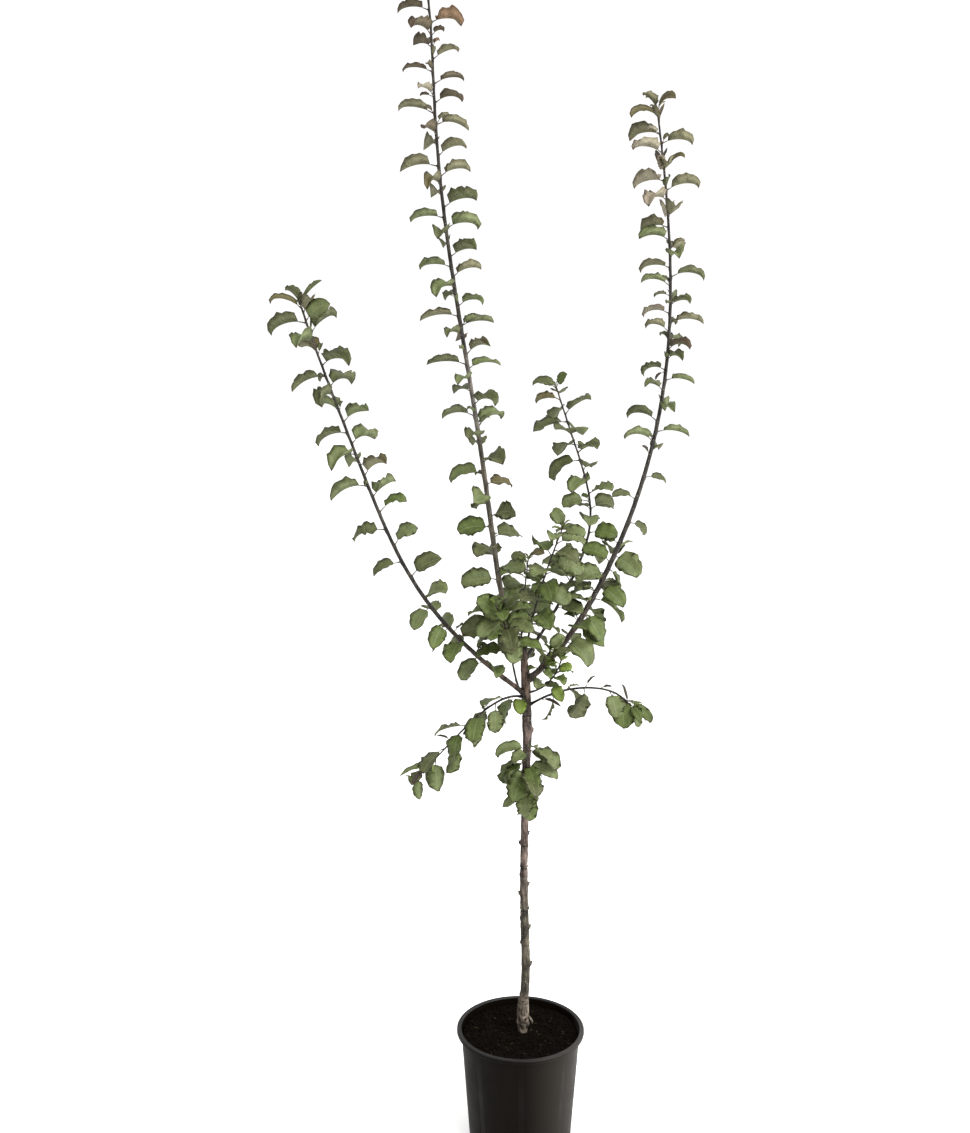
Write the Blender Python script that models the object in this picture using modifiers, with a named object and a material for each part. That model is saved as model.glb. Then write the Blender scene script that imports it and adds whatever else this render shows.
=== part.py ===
"""Potted mirabelle plum tree: pot, compost, trunk, boughs and masses of leaves as closed solids.

Metres, +Z up. The origin is the centre of the pot's flat underside, +X is the tree's right side
and -Y is its front. Every shoot is one smooth curve from its foot to its tip. Its foot is a bare
bough, and the rest is cut into masses, each a length of stem with the leaves that grow on it.
"""

import math
import random
from dataclasses import dataclass, replace

import bmesh
import bpy
import numpy as np
from mathutils.bvhtree import BVHTree

# Pot: a 7.5 litre nursery container with a rolled rim.
POT_HEIGHT = 0.225
RIM_DIAMETER = 0.240
RIM_DEPTH = 0.0135
RIM_ROUND = 0.003
RIM_TOP_WIDTH = 0.0085
SHOULDER_DIAMETER = 0.2225
BASE_DIAMETER = 0.191
BASE_CHAMFER = 0.003
WALL = 0.002
SLOTS = 8
SLOT_WIDTH = 0.010
SLOT_HEIGHT = 0.020
SLOT_DEPTH = 0.008
COMPOST_LEVEL = 0.212
TURN_STEPS = 64

# Clearance between pieces that touch.
GAP = 0.0003

# Stems: rings this far apart, and a short straight run at each end, which squares its cap.
RING_STEP = 0.024
CAP_RUN = 0.002

# Trunk: height above the underside, lean to the right, lean to the back, diameter.
TRUNK = (
    (0.2123, 0.0050, 0.000, 0.0150),
    (0.2180, 0.0048, 0.000, 0.0190),
    (0.2260, 0.0049, 0.000, 0.0214),
    (0.2400, 0.0052, 0.000, 0.0224),
    (0.2580, 0.0047, 0.000, 0.0222),
    (0.2720, 0.0052, 0.001, 0.0208),
    (0.2870, 0.0064, 0.001, 0.0200),
    (0.2950, 0.0079, 0.001, 0.0168),
    (0.330, 0.0095, 0.002, 0.0162),
    (0.377, 0.0092, 0.002, 0.0162),
    (0.404, 0.0080, 0.003, 0.0163),
    (0.440, 0.0068, 0.003, 0.0160),
    (0.475, 0.0061, 0.003, 0.0152),
    (0.500, 0.0056, 0.003, 0.0155),
    (0.520, 0.0053, 0.003, 0.0145),
    (0.545, 0.0053, 0.003, 0.0142),
    (0.600, 0.0061, 0.003, 0.0141),
    (0.690, 0.0073, 0.002, 0.0146),
    (0.772, 0.0098, 0.001, 0.0153),
    (0.790, 0.0102, 0.001, 0.0166),
    (0.812, 0.0095, 0.000, 0.0178),
    (0.835, 0.0090, 0.000, 0.0175),
    (0.905, 0.0064, 0.000, 0.0166),
    (0.930, 0.0038, 0.000, 0.0130),
    (0.948, 0.0012, 0.000, 0.0146),
    (0.9565, 0.0003, 0.000, 0.0118),
)
TRUNK_SIDES = 12
TRUNK_STEP = 0.018

# Leaves: a blade folded along its midrib, on a thin stalk.
STALK_LENGTH = 0.013
STALK_THICK = 0.0016
BLADE_THICK = 0.0010
WIDEST_AT = 0.43
ROUNDNESS = 0.45
BLADE_RINGS = (0.22, 0.66)
CLEARANCE = 0.0010
TRIES = 24

BARK_DARK = "#3a2d2a"
BARK_TRUNK = "#6b5a4e"
LEAF_HIGH = "#6b6a4a"
LEAF_MIDDLE = "#66754a"
LEAF_LOW = "#587142"
POT_BLACK = "#2b2a26"
COMPOST_BROWN = "#1b1613"


@dataclass
class Growth:
    """How the leaves of one mass grow. Lengths in metres, angles in degrees."""

    gap: float = 0.0165  # along the stem from one leaf to the next
    first: float = 0.008  # along the stem to the first leaf
    row: float = 180  # compass heading of the first leaf, 0 right, 90 back
    turn: float = 144  # round the stem from one leaf to the next
    spread: float = 14  # the most a leaf strays from that heading
    size: float = 0.052  # length of the blade
    width: float = 0.75  # of that length
    lift: float = 56  # from the stem's direction to the stalk's
    droop: float = 14  # the stalk bends down by this
    arch: float = 46  # the blade bends down by this
    fold: float = 50  # of each half of the blade above flat
    face: float = 0  # a blade that points left or right rolls this far to face the front
    unlike: float = 0.3  # the most the bends stray, as a share
    reach: float = 0.085  # the mass keeps within this of its stem


@dataclass
class Shoot:
    """One shoot, from a foot inside the trunk to its tip. Lengths in metres, angles in degrees."""

    name: str
    foot: tuple  # where the centre line starts
    reach: float  # across the ground from foot to tip
    bearing: float  # compass heading from foot to tip
    rise: float  # height gained from foot to tip
    leave: tuple  # heading, and slant from upright, at the foot
    arrive: tuple  # heading and slant at the tip
    thick: tuple  # diameter at the foot and at the tip
    handles: tuple = (0.36, 0.36)
    sway: float = 0.0  # an S bend across the ground, toward the bearing and then away from it
    bare: float = 0.0  # share of the length that is a bare bough
    masses: tuple = ()  # (share where the mass ends, its Growth)
    sides: int = 6


HIGH = Growth()
LOW = Growth(
    gap=0.0150, size=0.051, width=0.78, lift=55, droop=25, arch=38, fold=22, spread=30, face=42
)
HANGING = Growth(
    gap=0.0160, row=300, turn=137.5, spread=40, size=0.050, width=0.80, lift=62, droop=62, arch=22,
    fold=14, unlike=0.85,
)
ROSETTE = replace(LOW, gap=0.0080, turn=137.5, spread=25, size=0.056, lift=74, droop=14, arch=26)

SHOOTS = (
    Shoot(
        "front", (0.0085, 0.0, 0.862), 0.124, 243, 0.186, (243, 64), (243, 56), (0.0040, 0.0028),
        handles=(0.36, 0.36), bare=0.52,
        masses=((1.0, replace(ROSETTE, gap=0.0084, row=200, size=0.057)),),
    ),
    Shoot(
        "trunk", (0.0108, 0.0, 0.772), 0.044, 266, -0.088, (262, 66), (272, 165), (0.0046, 0.0024),
        masses=((0.32, replace(HANGING, gap=0.0090, first=0.010, row=182, turn=165, spread=8,
                               size=0.060, lift=72, droop=6, arch=52, fold=24, unlike=0.3)),
                (1.0, replace(HANGING, gap=0.0074, first=0.002, row=230, spread=25, size=0.055,
                              lift=76, droop=46, arch=30, unlike=0.6))),
    ),
    Shoot(
        "leader", (0.001, 0.0, 0.935), 0.1885, 204.6, 1.153, (198, 44), (201, 42), (0.0106, 0.0034),
        handles=(0.312, 0.238), sway=-0.0489, bare=0.11, sides=8,
        masses=((0.285, replace(HIGH, gap=0.0192, first=0.002, row=36, size=0.052, width=0.80,
                                fold=20, arch=36, droop=24, face=48)),
                (0.455, replace(HIGH, gap=0.0205, first=0.008, row=180, fold=36, face=22)),
                (0.645, replace(HIGH, first=0.0003, row=180)),
                (0.825, replace(HIGH, first=0.006, row=36)),
                (1.0, replace(HIGH, gap=0.0190, first=0.004, row=252, size=0.050))),
    ),
    Shoot(
        "right", (0.008, 0.0, 0.894), 0.2645, 27.8, 1.0225, (25, 66), (152, 5), (0.0112, 0.0032),
        handles=(0.246, 0.516), sway=-0.0212, bare=0.085, sides=8,
        masses=((0.27, replace(LOW, gap=0.0122, first=0.004, row=300, size=0.054, droop=40,
                               unlike=0.7)),
                (0.43, replace(LOW, gap=0.044, row=180, turn=180, size=0.036)),
                (0.60, replace(HIGH, gap=0.0190, first=0.012, row=72, unlike=0.5)),
                (0.80, replace(HIGH, first=0.012, row=288)),
                (1.0, replace(HIGH, first=0.010, row=144, size=0.054))),
    ),
    Shoot(
        "left", (0.0075, 0.0, 0.868), 0.4013, 202.1, 0.6827, (212, 49.4), (211, 13), (0.0090, 0.0032),
        handles=(0.375, 0.401), sway=0.0146, bare=0.10, sides=8,
        masses=((0.36, replace(LOW, gap=0.021, row=20, turn=160, size=0.047, spread=50)),
                (0.58, replace(HIGH, gap=0.031, first=0.030, row=10, turn=180, size=0.046,
                               fold=26, face=35)),
                (0.79, replace(HIGH, gap=0.0190, first=0.005, row=36, size=0.057, unlike=0.5)),
                (1.0, replace(HIGH, gap=0.0180, first=0.012, row=252, size=0.058))),
    ),
    Shoot(
        "inner_back", (0.004, 0.0, 0.930), 0.1523, 66.3, 0.4946, (46, 45.7), (130, 27),
        (0.0062, 0.0026), handles=(0.706, 0.482), sway=0.0095, bare=0.17,
        masses=((0.45, LOW), (0.72, replace(LOW, size=0.050)),
                (1.0, replace(LOW, size=0.056, fold=28, face=28))),
    ),
    Shoot(
        "inner_front", (0.004, 0.0, 0.935), 0.098, 310.4, 0.248, (308, 14), (311, 28),
        (0.0046, 0.0020), bare=0.22, masses=((1.0, replace(LOW, gap=0.0125, row=0, size=0.051)),),
    ),
    Shoot(
        "right_twig", (0.0085, 0.0, 0.872), 0.0675, 333.6, 0.067, (330, 80), (340, 15),
        (0.0036, 0.0020),
        masses=((1.0, replace(LOW, gap=0.0085, first=0.030, row=60, turn=137.5, size=0.036)),),
    ),
    Shoot(
        "spur", (0.0070, 0.0, 0.900), 0.062, 312, 0.060, (305, 70), (320, 30), (0.0040, 0.0022),
        masses=((1.0, replace(ROSETTE, first=0.026, row=20, turn=100, lift=60, size=0.050)),),
    ),
    Shoot(
        "low_left", (0.008, 0.0, 0.862), 0.212, 193.7, -0.144, (214, 66), (195, 133),
        (0.0044, 0.0018), handles=(0.29, 0.50),
        masses=((0.50, replace(HANGING, gap=0.0165, first=0.014, row=250, turn=150, spread=40,
                               droop=45)),
                (1.0, replace(HANGING, gap=0.0225, first=0.006, row=194, turn=180, spread=60,
                              size=0.047, droop=40))),
    ),
    Shoot(
        "low_right", (0.009, 0.0, 0.846), 0.1917, 345.9, 0.0058, (347, 61.6), (351, 140),
        (0.0046, 0.0030), handles=(0.476, 0.402), sway=-0.0067,
        masses=((0.62, replace(HANGING, gap=0.0300, first=0.052, row=346, turn=180, spread=40)),
                (1.0, replace(HANGING, gap=0.0120, first=0.026, row=300, size=0.049, droop=45))),
    ),
    Shoot(
        "back", (0.002, 0.0, 0.912), 0.120, 84, 0.190, (96, 52), (70, 18), (0.0046, 0.0022),
        bare=0.20, masses=((1.0, replace(LOW, row=90, turn=137.5)),),
    ),
)


def linear(value):
    """One sRGB channel from 0 to 1 as a linear one."""
    return value / 12.92 if value <= 0.04045 else ((value + 0.055) / 1.055) ** 2.4


def material(name, colour, roughness, metallic=0.0):
    made = bpy.data.materials.new(name)
    made.use_nodes = True
    shader = made.node_tree.nodes["Principled BSDF"]
    channels = [linear(int(colour[i : i + 2], 16) / 255) for i in (1, 3, 5)]
    shader.inputs["Base Color"].default_value = (*channels, 1)
    shader.inputs["Roughness"].default_value = roughness
    shader.inputs["Metallic"].default_value = metallic
    return made


def cleared_scene():
    """Collections for the parts and for the cutters, in a scene with nothing else in it."""
    for old in list(bpy.data.objects):
        bpy.data.objects.remove(old, do_unlink=True)
    parts = bpy.data.collections.new("mirabelle plum tree in a pot")
    cutters = bpy.data.collections.new("cutters")
    cutters.hide_render = True
    for collection in (parts, cutters):
        bpy.context.scene.collection.children.link(collection)
    return parts, cutters


def mesh_object(name, vertices, faces, collection, look=None):
    mesh = bpy.data.meshes.new(name)
    mesh.from_pydata([tuple(v) for v in vertices], [], faces)
    made = bpy.data.objects.new(name, mesh)
    collection.objects.link(made)
    if look:
        mesh.materials.append(look)
    return made


def applied(piece):
    """The piece with its modifiers applied."""
    bpy.context.view_layer.update()
    graph = bpy.context.evaluated_depsgraph_get()
    mesh = bpy.data.meshes.new_from_object(piece.evaluated_get(graph))
    piece.modifiers.clear()
    piece.data = mesh
    return piece


def boolean(piece, operation, solver="EXACT", cutter=None, group=None):
    """One Boolean with one other object, or with a collection of them, applied."""
    modifier = piece.modifiers.new(operation.lower(), "BOOLEAN")
    modifier.operation = operation
    modifier.solver = solver
    if group:
        modifier.operand_type = "COLLECTION"
        modifier.collection = group
    else:
        modifier.object = cutter
    return applied(piece)


def largest_shell(piece):
    """Drops loose scraps, and fills a hollow that fusing sealed by dropping its walls."""
    shape = bmesh.new()
    shape.from_mesh(piece.data)
    unseen = set(shape.verts)
    shells = []
    while unseen:
        shell = {unseen.pop()}
        edge = list(shell)
        while edge:
            near = {e.other_vert(v) for v in edge for e in v.link_edges} & unseen
            unseen -= near
            shell |= near
            edge = list(near)
        shells.append(shell)
    keep = max(shells, key=len)
    bmesh.ops.delete(shape, geom=[v for v in shape.verts if v not in keep], context="VERTS")
    bmesh.ops.triangulate(shape, faces=shape.faces)
    shape.to_mesh(piece.data)
    shape.free()
    return piece


def turned(name, profile, collection, look):
    """A closed profile of (radius, height) turned round Z. It runs down its outer side."""
    edges = [(i, i + 1) for i in range(len(profile) - 1)]
    mesh = bpy.data.meshes.new(name)
    mesh.from_pydata([(r, 0, z) for r, z in profile], edges, [])
    mesh.materials.append(look)
    made = bpy.data.objects.new(name, mesh)
    collection.objects.link(made)
    screw = made.modifiers.new("turn", "SCREW")
    screw.steps = screw.render_steps = TURN_STEPS
    screw.use_merge_vertices = True
    screw.merge_threshold = 0.00001
    return made


def outer_radius(height):
    """Radius of the pot's tapering wall at a height, on the outside."""
    share = height / (POT_HEIGHT - RIM_DEPTH)
    return (BASE_DIAMETER + (SHOULDER_DIAMETER - BASE_DIAMETER) * share) / 2


def pot(collection, cutters):
    """A tapering tub with a rolled rim, a flat floor and drain slots round the bottom corner."""
    rim = RIM_DIAMETER / 2
    shoulder = POT_HEIGHT - RIM_DEPTH
    profile = [
        (0, WALL),
        (outer_radius(WALL) - WALL, WALL),
        (rim - RIM_TOP_WIDTH - RIM_ROUND / 2, POT_HEIGHT - RIM_ROUND),
        (rim - RIM_TOP_WIDTH, POT_HEIGHT - RIM_ROUND / 3),
        (rim - RIM_TOP_WIDTH + RIM_ROUND / 3, POT_HEIGHT),
        (rim - RIM_ROUND, POT_HEIGHT),
        (rim - RIM_ROUND / 3, POT_HEIGHT - RIM_ROUND / 3),
        (rim, POT_HEIGHT - RIM_ROUND),
        (rim, shoulder + RIM_ROUND / 3),
        (rim - RIM_ROUND / 3, shoulder),
        (outer_radius(shoulder), shoulder),
        (outer_radius(BASE_CHAMFER), BASE_CHAMFER),
        (outer_radius(0) - BASE_CHAMFER, 0),
        (0, 0),
    ]
    tub = turned("pot", profile, collection, material("black polypropylene", POT_BLACK, 0.42))
    for i in range(SLOTS):
        angle = 2 * math.pi * i / SLOTS
        middle = outer_radius(0) - SLOT_DEPTH / 2 + WALL
        bpy.ops.mesh.primitive_cube_add(
            size=1,
            location=(middle * math.cos(angle), middle * math.sin(angle), 0),
            rotation=(0, 0, angle),
        )
        slot = bpy.context.object
        slot.scale = (SLOT_DEPTH, SLOT_WIDTH, 2 * SLOT_HEIGHT)
        slot.name = f"slot_cutter_{i + 1}"
        for holder in list(slot.users_collection):
            holder.objects.unlink(slot)
        cutters.objects.link(slot)
        slot.display_type = "WIRE"
        slot.hide_render = True
        modifier = tub.modifiers.new(f"slot {i + 1}", "BOOLEAN")
        modifier.operation = "DIFFERENCE"
        modifier.object = slot
    return tub


def compost(collection):
    """The block of compost that fills the pot to a finger's width under the rim."""
    base = WALL + GAP
    inset = WALL + GAP
    profile = [
        (0, COMPOST_LEVEL),
        (outer_radius(COMPOST_LEVEL) - inset - GAP, COMPOST_LEVEL),
        (outer_radius(base) - inset - GAP, base),
        (0, base),
    ]
    return turned("compost", profile, collection, material("compost", COMPOST_BROWN, 0.95))


def tube(name, points, diameters, sides, collection, look):
    """A tapering round limb through the points: a bevelled curve with caps, made a mesh."""
    curve = bpy.data.curves.new(name, "CURVE")
    curve.dimensions = "3D"
    curve.bevel_depth = 0.5
    curve.bevel_resolution = sides // 2 - 2
    curve.use_fill_caps = True
    spline = curve.splines.new("POLY")
    spline.points.add(len(points) - 1)
    for place, at, thick in zip(spline.points, points, diameters):
        place.co = (*at, 1)
        place.radius = thick
    bent = bpy.data.objects.new(name, curve)
    collection.objects.link(bent)
    graph = bpy.context.evaluated_depsgraph_get()
    mesh = bpy.data.meshes.new_from_object(bent.evaluated_get(graph))
    bpy.data.objects.remove(bent, do_unlink=True)
    shape = bmesh.new()
    shape.from_mesh(mesh)
    bmesh.ops.remove_doubles(shape, verts=shape.verts, dist=0.00001)
    bmesh.ops.recalc_face_normals(shape, faces=shape.faces)
    bmesh.ops.triangulate(shape, faces=shape.faces)
    shape.to_mesh(mesh)
    shape.free()
    mesh.materials.clear()
    mesh.materials.append(look)
    made = bpy.data.objects.new(name, mesh)
    collection.objects.link(made)
    return made


def trunk_at(heights):
    """Centre points and diameters of the trunk at these heights, through its stations."""
    stations = np.array(TRUNK)
    columns = [np.interp(heights, stations[:, 0], stations[:, i]) for i in (1, 2, 3)]
    return np.stack([columns[0], columns[1], heights], axis=1), columns[2]


def trunk(name, grow, collection, look):
    """The trunk from its flat cut on the compost to its head, thicker all round by grow."""
    low, high = TRUNK[0][0] - grow, TRUNK[-1][0] + grow
    even = np.arange(low, high, TRUNK_STEP)
    heights = np.unique(np.concatenate([even, [row[0] for row in TRUNK[1:-1]], [high]]))
    heights = heights[np.concatenate([[True], np.diff(heights) > TRUNK_STEP / 6])]
    heights[-1] = high
    points, diameters = trunk_at(heights)
    return tube(name, points, diameters + 2 * grow, TRUNK_SIDES, collection, look)


def toward(heading, slant):
    """Unit direction with a compass heading and a slant from upright, in degrees."""
    turn, lean = math.radians(heading), math.radians(slant)
    return np.array(
        [math.cos(turn) * math.sin(lean), math.sin(turn) * math.sin(lean), math.cos(lean)]
    )


def centre_line(shoot):
    """The shoot's Bezier curve and its sway as 241 points, and the length along it at each."""
    foot = np.array(shoot.foot)
    tip = foot + shoot.reach * toward(shoot.bearing, 90) + np.array([0, 0, shoot.rise])
    chord = np.linalg.norm(tip - foot)
    first = foot + shoot.handles[0] * chord * toward(*shoot.leave)
    second = tip - shoot.handles[1] * chord * toward(*shoot.arrive)
    t = np.linspace(0, 1, 241)[:, None]
    line = (1 - t) ** 3 * foot + 3 * t * (1 - t) ** 2 * first
    line += 3 * t**2 * (1 - t) * second + t**3 * tip
    line += shoot.sway * np.sin(2 * math.pi * t) * toward(shoot.bearing, 90)
    steps = np.linalg.norm(np.diff(line, axis=0), axis=1)
    return line, np.concatenate([[0], np.cumsum(steps)])


def on_line(line, lengths, at):
    """Points of the centre line at these lengths from its foot."""
    return np.stack([np.interp(at, lengths, line[:, i]) for i in range(3)], axis=-1)


def diameter(shoot, share):
    return shoot.thick[0] + (shoot.thick[1] - shoot.thick[0]) * share


def stem(name, shoot, start, end, collection, look):
    """The length of a shoot between two shares of it, as a tapering tube."""
    line, lengths = centre_line(shoot)
    total = lengths[-1]
    rings = max(3, math.ceil((end - start) * total / RING_STEP))
    at = np.linspace(start, end, rings) * total
    at = np.concatenate([at[:1], at[:1] + CAP_RUN, at[1:-1], at[-1:] - CAP_RUN, at[-1:]])
    points = on_line(line, lengths, at)
    return tube(name, points, diameter(shoot, at / total), shoot.sides, collection, look)


def outline(t):
    """Half width of a blade as a share of its widest, at a share t of its length."""
    low, high = ROUNDNESS, ROUNDNESS * (1 - WIDEST_AT) / WIDEST_AT
    peak = WIDEST_AT**low * (1 - WIDEST_AT) ** high
    return t**low * (1 - t) ** high / peak


@dataclass
class Leaf:
    root: np.ndarray  # on the stem's centre line
    heading: np.ndarray  # unit vector across the ground
    rise: float  # angle of the stalk above level at the root, in radians
    stalk: float
    blade: float
    width: float
    droop: float
    arch: float
    fold: float
    roll: float


def bent_run(rise, bend, run, at):
    """How far out and up a path has come after the length at, bending down evenly over run."""
    rate = bend / run
    now = rise - rate * at
    return (math.sin(rise) - math.sin(now)) / rate, (math.cos(now) - math.cos(rise)) / rate, now


def leaf_frame(leaf, at):
    """Midrib point, side and normal of a leaf at a length from its root."""
    out, up, now = bent_run(leaf.rise, leaf.droop, leaf.stalk, min(at, leaf.stalk))
    if at > leaf.stalk:
        more_out, more_up, now = bent_run(now, leaf.arch, leaf.blade, at - leaf.stalk)
        out, up = out + more_out, up + more_up
    vertical = np.array([0, 0, 1])
    along = leaf.heading * math.cos(now) + vertical * math.sin(now)
    normal = vertical * math.cos(now) - leaf.heading * math.sin(now)
    side = np.cross(along, normal)
    turn = (math.cos(leaf.roll), math.sin(leaf.roll))
    side, normal = side * turn[0] - normal * turn[1], normal * turn[0] + side * turn[1]
    return leaf.root + leaf.heading * out + vertical * up, side, normal


def leaf_solid(leaf, extra=0.0):
    """Vertices and triangles of a thin closed leaf: a stalk from a point, a folded blade, a point.

    Each ring has the left edge, the top of the midrib, the right edge and its underside.
    """
    level, raised = math.cos(leaf.fold), math.sin(leaf.fold)
    rings = [(leaf.stalk, STALK_THICK / 2, STALK_THICK)]
    for share in BLADE_RINGS:
        half = outline(share) * leaf.width / 2
        rings.append((leaf.stalk + share * leaf.blade, half, BLADE_THICK))
    vertices = [leaf_frame(leaf, 0.0)[0]]
    for at, half, thick in rings:
        middle, side, normal = leaf_frame(leaf, at)
        half, thick = half + extra, thick + 2 * extra
        vertices += [
            middle - side * half * level + normal * half * raised,
            middle + normal * thick / 2,
            middle + side * half * level + normal * half * raised,
            middle - normal * thick / 2,
        ]
    vertices.append(leaf_frame(leaf, leaf.stalk + leaf.blade)[0])
    around = [(i, (i + 1) % 4) for i in range(4)]
    faces = [(0, 1 + b, 1 + a) for a, b in around]
    for ring in range(1, 4 * len(rings) - 4, 4):
        for a, b in around:
            faces += [(ring + a, ring + b, ring + b + 4), (ring + a, ring + b + 4, ring + a + 4)]
    last = 4 * len(rings) - 3
    faces += [(last + a, last + b, last + 4) for a, b in around]
    return np.array(vertices), faces


def leaf_at(name, growth, line, lengths, at, count, attempt):
    """The leaf that the seeded rule puts at a length along a shoot, for the mass of this name."""
    chance = random.Random(f"{name} {count} {attempt}")
    stray = [chance.uniform(-1, 1) for _ in range(7)]
    root = on_line(line, lengths, at)
    ahead = on_line(line, lengths, min(at + 0.002, lengths[-1]))
    behind = on_line(line, lengths, max(at - 0.002, 0))
    along = (ahead - behind) / np.linalg.norm(ahead - behind)
    azimuth = growth.row + growth.turn * count + growth.spread * stray[0]
    out = toward(azimuth, 90)
    out = out - along * (out @ along)
    out /= np.linalg.norm(out)
    near_tip = max(0.0, 1 - (lengths[-1] - at) / 0.045)
    lift = math.radians(growth.lift * (1 - 0.55 * near_tip) + 7 * stray[1])
    way = along * math.cos(lift) + out * math.sin(lift)
    across = np.array([way[0], way[1], 0])
    heading = across / np.linalg.norm(across)
    size = growth.size * (1 - 0.42 * near_tip) * (1 + 0.13 * stray[2])
    return Leaf(
        root=root,
        heading=heading,
        rise=math.asin(way[2]),
        stalk=STALK_LENGTH * (1 - 0.4 * near_tip) * (1 + 0.2 * stray[3]),
        blade=size,
        width=size * growth.width * (1 + 0.07 * stray[4]),
        droop=math.radians(growth.droop * (1 + growth.unlike * stray[5])),
        arch=math.radians(growth.arch * (1 + growth.unlike * stray[6])),
        fold=math.radians(growth.fold * (1 + 0.2 * stray[3])),
        roll=math.radians(20 * stray[4] + growth.face * heading[0]),
    )


def tree_of(vertices, faces):
    return BVHTree.FromPolygons([tuple(v) for v in vertices], faces)


def tree_of_object(piece):
    mesh = piece.data
    return tree_of([v.co for v in mesh.vertices], [tuple(p.vertices) for p in mesh.polygons])


def clear_of(candidate, centre, own_stem, others, leaves):
    """Whether a leaf keeps off every stem and leaf: its blade too off the stem it grows on."""
    vertices, faces = candidate
    whole = tree_of(vertices, faces)
    blade = tree_of(vertices[1:], [tuple(i - 1 for i in face) for face in faces if min(face)])
    if blade.overlap(own_stem) or any(whole.overlap(other) for other in others):
        return False
    near = [tree for middle, tree in leaves if np.linalg.norm(middle - centre) < 0.12]
    return not any(whole.overlap(tree) for tree in near)


def mass_leaves(name, shoot, growth, start, end, own_stem, others, leaves):
    """The leaves of one mass, each put where it is clear within a few tries, or left out."""
    line, lengths = centre_line(shoot)
    total = lengths[-1]
    kept = []
    count = 0
    at = start * total + growth.first
    while at < end * total - 0.002:
        for attempt in range(TRIES):
            leaf = leaf_at(name, growth, line, lengths, at, count, attempt)
            vertices, faces = leaf_solid(leaf, CLEARANCE)
            away = np.linalg.norm(vertices[:, None] - line[None], axis=2).min(axis=1).max()
            centre = vertices[1:].mean(axis=0)
            if away > growth.reach:
                continue
            if clear_of((vertices, faces), centre, own_stem, others, leaves):
                leaves.append((centre, tree_of(vertices, faces)))
                kept.append(leaf)
                break
        at += growth.gap * (1 - 0.35 * max(0.0, 1 - (total - at) / 0.05))
        count += 1
    return kept


def fused(piece, leaves, name):
    """The stem with its leaves joined on by one Boolean union, as one closed shell."""
    group = bpy.data.collections.new(f"{name} leaves")
    bpy.context.scene.collection.children.link(group)
    for i, leaf in enumerate(leaves):
        mesh_object(f"{name} leaf {i + 1}", *leaf_solid(leaf), group)
    boolean(piece, "UNION", "MANIFOLD", group=group)
    for used in list(group.objects):
        bpy.data.objects.remove(used, do_unlink=True)
    bpy.data.collections.remove(group)
    return largest_shell(piece)


def main():
    parts, cutters = cleared_scene()
    bark = material("young bark", BARK_DARK, 0.6)
    greens = [
        material(name, colour, 0.55)
        for name, colour in (("low", LEAF_LOW), ("middle", LEAF_MIDDLE), ("high", LEAF_HIGH))
    ]
    pot(parts, cutters)
    compost(parts)
    post = trunk("trunk", 0.0, parts, material("trunk bark", BARK_TRUNK, 0.8))
    post_space = trunk("trunk_space", GAP, cutters, bark)
    post_space.hide_render = True
    post_space.display_type = "WIRE"

    stems = []
    for shoot in SHOOTS:
        total = centre_line(shoot)[1][-1]
        start = 0.0
        if shoot.bare:
            limb = stem(f"{shoot.name}_bough", shoot, 0.0, shoot.bare, parts, bark)
            stems.append((limb, None))
            start = shoot.bare + GAP / total
        for number, (end, growth) in enumerate(shoot.masses):
            name = f"{shoot.name}_foliage" + (f"_{number + 1}" if len(shoot.masses) > 1 else "")
            stop = end if end == 1.0 else end - GAP / total
            look = greens[0 if shoot.rise < 0.6 else min(number, 2)]
            stems.append((stem(name, shoot, start, stop, parts, look), (shoot, growth, start, stop)))
            start = end
    for piece, grown in stems:
        if not grown or grown[2] == 0.0:
            boolean(piece, "DIFFERENCE", cutter=post_space)
            largest_shell(piece)

    trees = [tree_of_object(piece) for piece, _ in stems]
    wood = tree_of_object(post)
    leaves = []
    for index, (piece, grown) in enumerate(stems):
        if not grown:
            continue
        shoot, growth, start, stop = grown
        others = [wood] + trees[:index] + trees[index + 1 :]
        kept = mass_leaves(
            piece.name, shoot, growth, start, stop, trees[index], others, leaves
        )
        fused(piece, kept, piece.name)


main()
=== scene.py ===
import functools
import math
import random
from dataclasses import dataclass, fields, replace

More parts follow.
